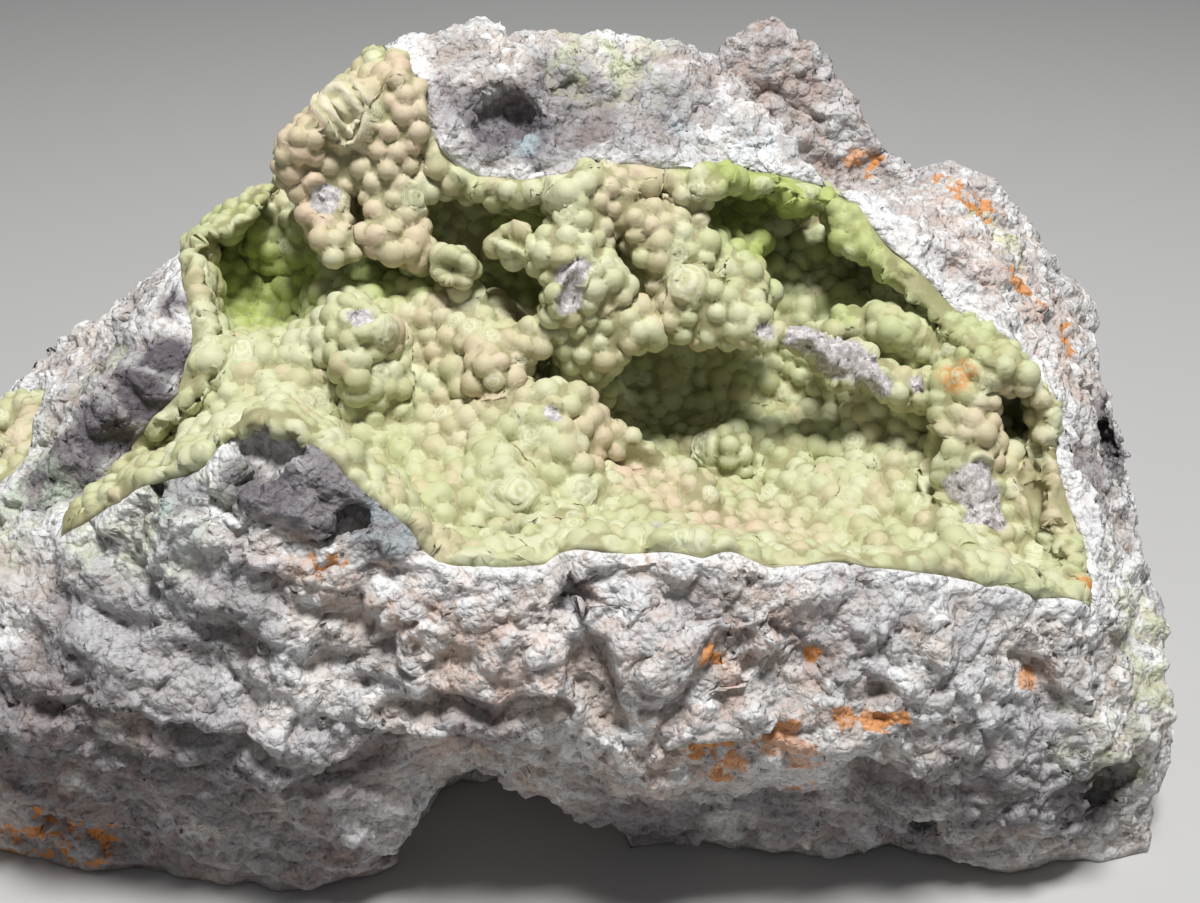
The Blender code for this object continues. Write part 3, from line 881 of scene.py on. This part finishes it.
@dataclass
class Rock:
    """The broken rock: chunks and grain are raised on the solid's surface.

    Attributes:
        crusts: The crusts' surfaces, which cover the rock behind them.
        finish: The rock's finish.
        node: The solid that the rock stands for.
        first: Edge length before the surface is looked at.
        fine: Edge length where the viewer sees the surface.
        coarse: Edge length on the back, the underside and behind the crust.
        lift: How far the skin stands off the solid, which closes the gap along the crust.
        chunks: Mean widths of the large chunks, the small ones and the grain.
        ledge: Distance from one ledge of the left face to the next.
        ledge_height: Height of those ledges.
        rust, rose, green, blue, dark, chalk: Patches, each a centre, a radius and a strength. The
            dark ones are dark grey bands and holes on the flank and roof, and painted shade low on
            the front slab.
        cuts: Grooves, each two ends, a radius and a depth; a depth below zero is a knob.
    """

    crusts: list[Skin]
    finish: RockFinish = field(default_factory=RockFinish)
    node: str = "matrix_rock"
    first: float = 2.4
    fine: float = 0.68
    coarse: float = 1.9
    lift: float = 0.35
    chunks: tuple[float, float, float] = (6.5, 2.9, 1.45)
    ledge: float = 7.0
    ledge_height: float = 1.1
    rust: Spots = (
        (28, -47, 31, 3.8), (31, -47, 29, 3.0), (20, -48, 31, 2.6), (22, -47, 27, 3.2),
        (32, -42, 19, 3.0), (36, -46, 34, 1.6), (40, -45, 33, 1.8), (43, -45, 34, 1.5),
        (33, -43, 41, 1.3), (59, -39, 34, 1.6), (-69, -34, 5, 8.0, 0.6), (-60, -34, 6, 6.0, 0.5),
        (62, 27, 71, 4.5, 0.7), (58, 30, 72, 3.0, 0.5), (48, 42, 71, 4.0, 0.5),
        (65, 10, 65, 3.0, 0.6), (67, 8, 62, 2.5, 0.5), (75, 13, 55, 3.0, 0.6),
        (-24, -42, 53, 2.5, 0.5), (20, -45, 42, 2.5, 0.45), (-50, 3, 71, 2.0, 0.5),
    )
    rose: Spots = (
        (-24, -42, 52, 8.0), (-15, -41, 50, 9.0), (9, -43, 49, 10.0), (25, -45, 42, 13.0),
        (-5, -44, 42, 10.0), (40, 40, 80, 16.0, 0.9), (60, 20, 70, 14.0, 0.8),
        (70, 8, 58, 14.0, 0.8), (14, -46, 30, 10.0, 0.8), (-40, -45, 30, 16.0, 0.5),
        (-60, -42, 25, 14.0, 0.6), (-10, -46, 22, 12.0, 0.9), (-25, -40, 8, 14.0, 1.0),
        (-60, -36, 10, 18.0, 1.0), (-19, 8, 95, 7.0, 1.0), (10, 40, 60, 25.0, 0.6),
        (-40, 30, 50, 22.0, 0.5),
    )
    green: Spots = (
        (-57, -7, 61, 5.0, 0.8), (-67, -13, 54, 6.0, 0.9), (8, 20, 94, 8.0),
        (-41, -37, 57, 7.0, 0.7), (-50, -33, 56, 9.0, 0.9), (76, -33, 17, 6.0, 1.0),
        (69, -38, 25, 6.0, 0.7), (78, -27, 30, 8.0, 1.0), (65, 21, 69, 6.0),
        (-30, 15, 88, 7.0, 0.8), (-66, -24, 50, 8.0, 0.9), (74, -24, 38, 7.0, 0.8),
    )
    blue: Spots = (
        (19, 13, 86, 3.5, 0.9), (44, 42, 77, 4.0, 0.6), (-4, 8, 86, 2.5, 0.9),
        (28, 14, 82, 4.0, 0.5), (-41, -38, 57, 4.0, 0.7), (-19, -40, 57, 4.0, 0.6),
        (-65, -22, 52, 5.0, 0.5),
    )
    # Dark grey bands and holes on the left flank and roof, and painted shade low on the front slab,
    # near the floor and under overhangs.
    dark: Spots = (
        (-48, -9, 64, 3.6, 1.2), (-47, -3, 67, 3.6, 1.2), (-50, -14, 61, 4.5, 1.2),
        (-56, -17, 57, 5.0, 1.1), (-61, -20, 53, 5.5, 1.0), (-54, -8, 62, 7.0, 0.5),
        (-30, -42, 8, 16.0, 0.6), (-6, -42, 7, 13.0, 0.5), (46, -40, 8, 13.0, 0.5),
        (-56, -40, 8, 15.0, 0.7), (-60, -44, 26, 15.0, 0.75), (-40, -46, 24, 14.0, 0.75),
        (-50, -42, 41, 14.0, 0.7), (-36, -43, 46, 9.0, 0.6), (-28, -46, 26, 11.0, 0.6),
        (57, -41, 20, 12.0, 0.7), (44, -42, 18, 9.0, 0.6), (70, -38, 14, 9.0, 0.8),
        (12, -38, 10, 12.0, 0.8), (30, -42, 10, 9.0, 0.7), (-30, -38, 63, 5.5, 1.0),
        (-23, -38, 61, 6.5, 0.9), (-19, -39, 57, 4.0, 0.9), (-42, -35, 58, 3.5, 0.8),
        (-6, 10, 88, 6.5, 1.0), (2, 12, 89, 9.0, 0.6), (14, 12, 88, 10.0, 0.5),
        (-13, 9, 90, 4.0, 0.6), (40, 44, 80, 22.0, 0.35), (78, 9, 40, 9.0, 0.9),
        (84, 6, 26, 8.0, 0.8), (72, -10, 45, 7.0, 0.5), (71, -34, 16, 6.0, 0.9),
        (48, -36, 9, 6.0, 0.8), (4, -42, 50, 3.4, 1.0), (-7, -47, 33, 6.0, 0.5),
        (36, -43, 44, 7.0, 0.4), (52, -40, 42, 6.0, 0.35), (18, -44, 46, 6.0, 0.35),
    )
    chalk: Spots = (
        (12, -46, 46, 6.0, 0.6), (36, -41, 49, 6.0, 0.5), (55, -39, 40, 8.0, 0.5),
        (2, -43, 47, 5.0, 0.6), (-18, -42, 15, 7.0, 0.7), (-45, -42, 45, 12.0, 0.5),
        (30, -46, 25, 8.0, 0.6), (60, -38, 26, 8.0, 0.5), (44, 40, 78, 7.0, 0.5),
        (-30, -45, 38, 12.0, 0.4),
    )
    cuts: Spots = (
        (4, -43, 49, 5, -43, 48, 1.6, 1.0), (-18, -46, 35, 2, -47, 37, 1.5, 2.0),
        (6, -46, 42, 8, -47, 36, 2.0, 2.2), (12, -46, 45, 13, -46, 43, 3.4, -2.0),
        (26, -45, 45, 31, -44, 43, 1.0, 1.6), (23, -45, 43, 20, -45, 41, 0.9, 1.5),
        (-60, -42, 34, -34, -46, 30, 1.8, 1.8), (-30, -45, 24, -12, -45, 30, 1.6, 1.7),
        (-52, -40, 46, -34, -42, 42, 1.2, 1.4), (40, -43, 36, 52, -41, 33, 1.4, 1.6),
        (58, -40, 36, 64, -38, 30, 1.5, 1.5), (38, -44, 24, 46, -42, 20, 2.2, 2.2),
        (30, -47, 35, 34, -46, 36, 2.0, -1.2), (-26, -44, 40, -18, -44, 44, 1.2, 1.3),
        (46, -41, 44, 49, -41, 42, 2.0, -1.2), (60, 26, 66, 70, 8, 58, 1.6, 1.6),
        (0, 14, 92, 14, 12, 88, 1.2, 1.2), (30, 40, 84, 44, 42, 76, 1.8, 1.4),
        (-70, 10, 52, -50, 24, 60, 2.0, 1.6), (-30, 54, 40, 20, 57, 46, 2.2, 1.8),
        (40, 56, 30, 74, 44, 40, 2.2, 1.8),
    )

    def split_surface(self) -> Skin:
        """Splits the solid's surface, finely where it is seen and isn't behind a crust.

        Returns:
            The surface, with marks for what is covered, borders a crust or is seen.
        """
        skin = Skin.of_node(self.node).evenly_split(self.first)
        lining = np.concatenate([crust.points for crust in self.crusts])
        gap = nearness(skin.points, lining, 4.6)
        skin.marks["covered"] = 1.0 - ease(gap, 1.0, 2.2)
        skin.marks["border"] = 1.0 - ease(gap, 1.8, 4.4)
        foot = ease(skin.points[:, 2], 0.2, 2.5)
        skin = skin.smoothed(3, foot * (1.0 - skin.marks["covered"]))
        facing = ease(skin.normals() @ TOWARDS_VIEWER, -0.10, 0.25)
        skin.marks["seen"] = np.maximum(facing * (1.0 - skin.marks["covered"]), 0.0)
        return skin.split(self.wanted)

    def crumbs(self, places: np.ndarray) -> np.ndarray:
        """Height of the broken chunks of three sizes, which sink along the lines between them.

        Args:
            places: Places in millimetres.

        Returns:
            The height of each place.
        """
        bent = places + 1.2 * rough_noise(places, 4.0, 5, 2)[:, None]
        large, large_gap = chunk_noise(bent, self.chunks[0], 11)
        bent = places + 0.5 * rough_noise(places, 2.0, 6, 2)[:, None]
        small, small_gap = chunk_noise(bent, self.chunks[1], 23)
        grain, grain_gap = chunk_noise(places, self.chunks[2], 37)
        inside = ease(large_gap, 0.0, 0.2)
        crumb = 0.55 * large * inside - 0.35 * (1.0 - inside)
        crumb += 0.36 * small + 0.62 * (ease(small_gap, -0.1, 0.55) - 0.55)
        crumb += 0.16 * grain + 0.34 * (ease(grain_gap, -0.1, 0.55) - 0.55)
        return crumb

    def ledges(self, places: np.ndarray, normals: np.ndarray) -> np.ndarray:
        """Height of the shallow ledges along the left face: a wave of height above the floor.

        Args:
            places: Places in millimetres.
            normals: Outward directions there.

        Returns:
            The height of each place.
        """
        along = places @ np.array([0.35, 0.1, 0.93]) + 2.0 * rough_noise(places, 16.0, 8, 2)
        wave = np.abs((along / self.ledge) % 1.0 - 0.5) * 2.0
        left = ease(-places[:, 0], -10.0, 30.0) * ease(-normals[:, 1], 0.2, 0.7)
        return left * self.ledge_height * (ease(wave, 0.2, 0.9) - 0.5)

    def surface(self) -> Skin:
        """Raises the relief on the split surface and marks its colours.

        The height is the sum of broad noise, chunks, ledges and grooves. It fades out on the
        base and behind the crust.

        Returns:
            The finished surface with its marks.
        """
        skin = self.split_surface()
        places = skin.points
        skin.points = wandered(places)
        normals = skin.normals()
        open_share = 1.0 - skin.marks["covered"]
        foot = ease(places[:, 2], 0.3, 4.0)
        crumb = self.crumbs(places)
        bent = places + 0.8 * rough_noise(places, 5.0, 71, 2)[:, None]
        cut = grooves(bent, self.cuts, 0.0)
        height = 0.6 * rough_noise(places, 14.0, 3) + crumb + self.ledges(places, normals) + cut
        skin = skin.raised(self.lift * foot + height * foot * open_share, normals)
        # Painted shade: the low mark takes in downward-facing faces, groove bottoms and the sunken
        # lines between chunks, which the finish paints darker brown.
        low = np.maximum(ease(-crumb, 0.1, 1.0), 0.7 * ease(-normals[:, 2], 0.1, 0.8))
        skin.marks["low"] = open_share * np.maximum(low, ease(-cut, 0.4, 1.6))
        # Painted highlight: the tops of raised chunks are marked high, and the finish paints them
        # paler.
        skin.marks["high"] = open_share * ease(crumb, 0.0, 0.9)
        for label in ("rust", "rose", "green", "blue", "dark", "chalk"):
            skin.marks[label] = patches(places, getattr(self, label))
        border = 0.9 * skin.marks["border"] * (1.0 - skin.marks["dark"])
        skin.marks["chalk"] = np.maximum(skin.marks["chalk"], border)
        del skin.marks["seen"], skin.marks["covered"], skin.marks["border"]
        return skin.on_floor()

    def wanted(self, middle: np.ndarray, marks: dict[str, np.ndarray]) -> np.ndarray:
        """Edge length wished at edge middles: fine where seen, coarse elsewhere."""
        return self.coarse + (self.fine - self.coarse) * ease(marks["seen"], 0.15, 0.6)

    def build(self) -> bpy.types.Object:
        """Makes the rock's piece."""
        return self.surface().to_object("rock_skin", self.finish.material(), Slot.ROCK, self.node)


@dataclass
class Crust:
    """A hollow's crust: round lumps are raised on the solid's open side.

    Attributes:
        node: The solid that the crust stands for.
        name: The piece's name.
        rock: The rock's surface, which the crust's back lies against.
        material: The crust's finish.
        first: Edge length before the surface is looked at.
        fine: Edge length where the viewer sees the open side.
        turned: Edge length where the open side is turned away from the viewer.
        back: Edge length against the rock.
        spacing: Least distance between lump centres.
        sizes: Smallest and largest lump radius.
        sink: How far a lump's centre lies under the surface, as a share of its radius.
        broken_share: Share of lumps that are broken and show rings.
        cup: Height at which a broken lump is cut, as a share of its radius.
        crease: How far a lump has to stand over the next before it counts as high; where a lump
            stands less far over its neighbour, the finish paints shade.
        lift: How far the skin stands off the solid.
        seed: Chooses another set of lumps.
        core, warm, deep, rust: Patches, each a centre, a radius and a strength; the deep ones, at
            the back of the chambers, are partly deeper green and partly painted shade.
        rings: Lumps that are broken, each a centre and a radius.
        slots: Grooves with a raised lip, each two ends, a radius and a depth.
    """

    node: str
    name: str
    rock: Skin
    material: bpy.types.Material
    first: float = 1.7
    fine: float = 0.5
    turned: float = 0.95
    back: float = 3.0
    spacing: float = 2.1
    sizes: tuple[float, float] = (1.25, 1.8)
    sink: float = 0.28
    broken_share: float = 0.06
    cup: float = 0.42
    crease: float = 0.35
    lift: float = 0.3
    seed: int = SEED
    core: Spots = (
        (-28, 1, 81, 2.6), (-24, -9, 69, 2.4), (4, -7, 74, 3.4), (4, -8, 70, 2.4),
        (1, -16, 59, 1.8), (14, -35, 53, 1.8), (55, -19, 50, 4.4), (56, -20, 47, 3.2),
        (33, -7, 65, 3.4), (38, -7, 63, 4.6), (43, -9, 60, 4.0), (28, -6, 66, 2.0),
        (48, -10, 59, 2.4),
    )
    warm: Spots = (
        (-26, 6, 86, 11.0, 0.9), (-18, 6, 92, 7.0, 1.0), (-32, 2, 79, 7.0, 1.0),
        (-20, 0, 77, 6.0, 0.8), (-13, -9, 68, 7.0, 1.0), (-5, 3, 66, 5.0, 0.9),
        (-5, -10, 62, 6.0, 0.8), (7, -15, 55, 5.0, 0.9), (12, -18, 52, 5.0, 1.0),
        (16, -20, 50, 5.0, 1.0), (22, -25, 47, 6.0, 1.0), (59, -12, 54, 6.0, 0.7),
        (12, 3, 79, 6.0, 0.7), (65, -17, 49, 5.0, 0.7), (30, -22, 44, 9.0, 0.5),
        (-70, -8, 51, 7.0, 0.7), (14, -2, 68, 4.0, 0.5), (-12, -13, 54, 5.0, 0.4),
    )
    # At the back of the chambers: deeper green that is partly painted shade.
    deep: Spots = (
        (-38, 10, 65, 12.0, 1.0), (-23, 9, 69, 9.0, 0.9), (30, 12, 78, 14.0, 1.0),
        (40, 6, 74, 11.0, 0.7), (-2, 10, 70, 9.0, 0.8), (20, 8, 48, 22.0, 0.2),
        (50, -4, 66, 10.0, 0.3), (-20, -22, 52, 9.0, 0.2),
    )
    rust: Spots = (
        (66, -31, 42, 2.0, 0.9), (53, -10, 61, 2.5, 0.8), (-8, 5, 72, 2.0, 0.6),
    )
    rings: Spots = (
        (-26, 5, 90, 4.6), (-17, 2, 80, 2.2), (-38, -11, 66, 2.4), (-20, -10, 66, 2.2),
        (19, -3, 72, 2.6), (22, -4, 46, 2.8), (-4, -26, 54, 2.4), (-70, -8, 52, 2.6),
        (16, -1, 74, 2.0), (36, -26, 45, 2.2), (48, -33, 47, 2.2), (8, -23, 53, 2.2),
        (-33, -16, 58, 2.2),
    )
    slots: Spots = (
        (-13, -4.5, 73.5, -8, -6.5, 71, 1.3, 1.6), (-13, 1, 79.5, -3, -2, 76.5, 0.9, 1.6),
        (-4, -26, 54, -4, -26, 54, 1.0, 1.4), (-70, -8, 52, -70, -8, 52, 1.3, 1.2),
        (51, -13, 52, 52, -15, 47, 1.2, 1.5), (-5, -33, 50, -3, -34, 50, 1.4, 1.4),
        (63, -13, 52, 64, -19, 45, 1.2, 1.3), (4, -7, 75.5, 4, -8, 70, 0.9, 0.9),
    )

    def split_surface(self) -> Skin:
        """Splits the solid's surface, finely on the open side that the viewer sees.

        Returns:
            The surface, with marks for its open side and for its rim along the bare rock.
        """
        skin = Skin.of_node(self.node).evenly_split(self.first)
        gap = cover(skin.points, self.rock.points, self.rock.normals(), 3.2)
        skin.marks["open"] = ease(gap, 0.65, 1.0)
        bare = self.rock.points[nearness(self.rock.points, skin.points, 2.4) > 2.0]
        skin.marks["rim"] = 1.0 - ease(nearness(skin.points, bare, 3.0), 1.7, 2.5)
        skin = skin.smoothed(6, 0.15 + 0.85 * skin.marks["open"])
        facing = ease(skin.normals() @ TOWARDS_VIEWER, -0.45, 0.1)
        skin.marks["seen"] = skin.marks["open"] * (0.25 + 0.75 * facing)
        skin = skin.split(self.wanted)
        return skin.smoothed(3, ease(skin.marks["open"], 0.3, 0.8))

    def surface(self) -> Skin:
        """Raises lumps, crumbly core and slots on the split surface and marks its colours.

        Returns:
            The finished surface with its marks.
        """
        skin = self.split_surface()
        places = skin.points
        core = patches(places, self.core)
        skin.points = wandered(places)
        normals = skin.normals()
        height = self.lumps(skin, normals, core)
        open_share = ease(skin.marks["open"], 0.2, 0.7)
        rim = skin.marks["rim"]
        height = height * (1.0 - 0.55 * rim) + 0.3 * rim * rough_noise(places, 2.0, 57)
        crumble, _ = chunk_noise(places, 1.6, 51)
        rough = 0.35 * crumble + 0.3 * rough_noise(places, 2.2, 53)
        bare = ease(core, 0.3, 0.6)
        height = height * (1.0 - bare) + rough * bare
        sunk = grooves(places, self.slots, 0.45)
        # Lowers the height mark in the slots, so that they get the painted crease shade.
        skin.marks["height"] *= 1.0 - ease(-sunk, 0.2, 0.8)
        height = height * (1.0 - ease(-sunk, 0.1, 0.6)) + sunk
        skin = skin.raised(self.lift + height * open_share, normals)
        skin.marks["core"] = core
        for label in ("warm", "deep", "rust"):
            skin.marks[label] = patches(places, getattr(self, label))
        del skin.marks["seen"], skin.marks["open"]
        return skin

    def scattered(self, places: np.ndarray) -> tuple[np.ndarray, np.ndarray, np.ndarray]:
        """Draws the lumps' radii, tones and breaks, and breaks the lump nearest each named ring.

        Args:
            places: Where the lumps are, in millimetres.

        Returns:
            The radius, tone and whether it is broken, of each lump.
        """
        draw = np.random.default_rng(self.seed + 1)
        radius = self.sizes[0] + (self.sizes[1] - self.sizes[0]) * draw.random(len(places)) ** 1.3
        radius *= 1.0 + 0.18 * rough_noise(places, 13.0, 61, 2)
        broken = draw.random(len(places)) < self.broken_share
        tone = draw.random(len(places))
        named = np.array([ring[:3] for ring in self.rings], dtype=float)
        wide = np.array([ring[3] for ring in self.rings])
        row, column = near_pairs(places, wandered(named), 6.0)
        close = ((places[row] - named[column]) ** 2).sum(axis=1)
        nearest = np.full(len(named), 1e9)
        np.minimum.at(nearest, column, close)
        chosen = close <= nearest[column]
        radius[row[chosen]] = wide[column[chosen]]
        broken[row[chosen]] = True
        return radius, tone, broken

    def lumps(self, skin: Skin, normals: np.ndarray, core: np.ndarray) -> np.ndarray:
        """Works out how far the lumps raise each point, and marks their tone, height and rings.

        A point at offset o from a lump's centre, with its own normal n, rises until it meets
        the lump's ball of radius r, by sqrt(r^2 - o.o + (o.n)^2) - o.n. The highest lump wins,
        which leaves a sharp crease between neighbours. A broken lump is cut off at a cup's
        height, with ripples round its middle.

        Args:
            skin: The split surface, which gets the marks.
            normals: Its outward directions.
            core: Share of bare broken core at each point.

        Returns:
            The height of each point in millimetres.
        """
        places = skin.points
        site = np.flatnonzero((skin.marks["open"] > 0.4) & (core < 0.5))
        picked = site[spread(places[site], self.spacing, self.seed)]
        radius, tone, broken = self.scattered(places[picked])
        centre = places[picked] - normals[picked] * (radius * self.sink)[:, None]
        row, column = near_pairs(places, centre, float(radius.max()) * 1.3)
        offset = places[row] - centre[column]
        inward = (offset * normals[row]).sum(axis=1)
        room = radius[column] ** 2 - (offset**2).sum(axis=1) + inward**2
        hit = (room > 0.0) & ((normals[row] * normals[picked][column]).sum(axis=1) > 0.1)
        hit &= (offset**2).sum(axis=1) < (1.06 * radius[column]) ** 2
        row, column, offset = row[hit], column[hit], offset[hit]
        rise = np.sqrt(room[hit]) - inward[hit]
        axis = (offset * normals[picked][column]).sum(axis=1)
        flat = np.sqrt(np.maximum((offset**2).sum(axis=1) - axis**2, 0.0)) / radius[column]
        ripple = 0.75 + 0.25 * np.cos(flat * RING_WAVES)
        bowl = radius[column] * self.cup * ripple + 0.15 * flat * radius[column]
        ringed = broken[column] & (rise > bowl)
        rise = np.where(ringed, bowl, rise)
        best = np.zeros(len(places))
        np.maximum.at(best, row, rise)
        winner = rise >= best[row] - 1e-9
        second = np.zeros(len(places))
        np.maximum.at(second, row[~winner], rise[~winner])
        for label in ("tone", "height", "ring"):
            skin.marks[label] = np.zeros(len(places))
        skin.marks["tone"][row[winner]] = tone[column[winner]]
        # Low in the creases between lumps, where the finish paints shade.
        skin.marks["height"] = np.clip((best - second) / self.crease, 0.0, 1.0)
        skin.marks["ring"][row[winner]] = np.where(ringed[winner], 0.1 + flat[winner], 0.0)
        return best

    def wanted(self, middle: np.ndarray, marks: dict[str, np.ndarray]) -> np.ndarray:
        """Edge length wished at edge middles: fine on the open side, coarse against the rock.

        Args:
            middle: The edges' middles, in millimetres.
            marks: The marks there.

        Returns:
            One length an edge.
        """
        share = ease(marks["seen"], 0.1, 0.9)
        open_side = self.turned + (self.fine - self.turned) * share
        return np.where(marks["seen"] < 0.08, self.back, open_side)

    def build(self) -> bpy.types.Object:
        """Makes the crust's piece."""
        return self.surface().to_object(self.name, self.material, Slot.CRUST, self.node)


# ---------------------------------------------------------------- floor, light and camera


@dataclass
class Studio:
    """A plain pale floor, soft lights and the camera, in metres.

    Attributes:
        aim: The place that the camera and the lights look at.
        distance: How far the camera is from it.
        pitch: How steeply the camera looks down.
        lens: The camera's focal length, in millimetres.
        reach: Half the floor's side.
        drop: How far the floor lies under the specimen, so that the two don't flicker.
        lamps: Name, place, power in watts and side of each square light.
    """

    aim: tuple[float, float, float] = (0.007, 0.0, 0.044)
    distance: float = 0.210
    pitch: float = math.radians(30.0)
    lens: float = 45.0
    reach: float = 3.0
    drop: float = 0.0002
    lamps: tuple[tuple[str, tuple[float, float, float], float, float], ...] = (
        ("key", (0.05, -0.15, 0.74), 7.2, 0.16),
        ("fill", (0.45, -0.95, 0.50), 0.5, 0.8),
        ("side", (-0.85, -0.35, 0.40), 0.4, 0.8),
    )

    def floor(self) -> bpy.types.Object:
        """Makes the pale floor that the specimen stands on.

        Returns:
            The floor.
        """
        bench = Bench("plain_floor")
        bench.feed(bench.shader.inputs["Base Color"], (0.47, 0.465, 0.455))
        bench.feed(bench.shader.inputs["Roughness"], 0.8)
        mesh = bpy.data.meshes.new("floor")
        signs = ((-1, -1), (1, -1), (1, 1), (-1, 1))
        corners = [(self.reach * across, self.reach * along, -self.drop) for across, along in signs]
        mesh.from_pydata(corners, [], [(0, 1, 2, 3)])
        mesh.materials.append(bench.material)
        plane = bpy.data.objects.new("floor", mesh)
        bpy.context.scene.collection.objects.link(plane)
        return plane

    def lamp(
        self, name: str, place: tuple[float, float, float], power: float, size: float
    ) -> bpy.types.Object:
        """Adds a square soft light that points at the specimen.

        Args:
            name: The light's name.
            place: Where it is, in metres.
            power: Its power in watts.
            size: Its side in metres.

        Returns:
            The light.
        """
        data = bpy.data.lights.new(name, "AREA")
        data.energy = power
        data.size = size
        light = bpy.data.objects.new(name, data)
        light.location = place
        towards = Vector(self.aim) - Vector(place)
        light.rotation_euler = towards.to_track_quat("-Z", "Y").to_euler()
        bpy.context.scene.collection.objects.link(light)
        return light

    def camera(self) -> bpy.types.Object:
        """Adds the camera, which looks down at the hollow from the front.

        Returns:
            The camera.
        """
        data = bpy.data.cameras.new("camera")
        data.lens = self.lens
        data.sensor_width = 36.0
        data.clip_start = 0.005
        eye = bpy.data.objects.new("camera", data)
        back = Vector((0.0, -math.cos(self.pitch), math.sin(self.pitch))) * self.distance
        eye.location = Vector(self.aim) + back
        eye.rotation_euler = (math.pi / 2.0 - self.pitch, 0.0, 0.0)
        bpy.context.scene.collection.objects.link(eye)
        bpy.context.scene.camera = eye
        return eye

    def build(self) -> None:
        """Sets up the floor, the lights, the pale surroundings and the camera."""
        self.floor()
        for lamp in self.lamps:
            self.lamp(*lamp)
        world = bpy.data.worlds.new("surroundings")
        world.use_nodes = True
        background = world.node_tree.nodes["Background"]
        background.inputs["Color"].default_value = (0.9, 0.93, 1.0, 1.0)
        background.inputs["Strength"].default_value = 0.10
        bpy.context.scene.world = world
        bpy.context.scene.view_settings.view_transform = "Standard"
        self.camera()


def main() -> None:
    """Builds the rock, both crusts and the studio, in that order."""
    logging.basicConfig(level=logging.INFO, format="%(name)s %(message)s")
    coarse = 2.4
    near = 1.2
    crusts = ("wavellite_crust", "side_crust")
    crust_skins = [Skin.of_node(node).evenly_split(coarse) for node in crusts]
    rock_skin = Skin.of_node("matrix_rock").evenly_split(near)
    lumpy = CrustFinish().material()
    Rock(crust_skins).build()
    Crust("wavellite_crust", "crust_skin", rock_skin, lumpy).build()
    Crust("side_crust", "side_crust_skin", rock_skin, lumpy, seed=SEED + 7).build()
    Studio().build()


if __name__ == "__main__":
    main()
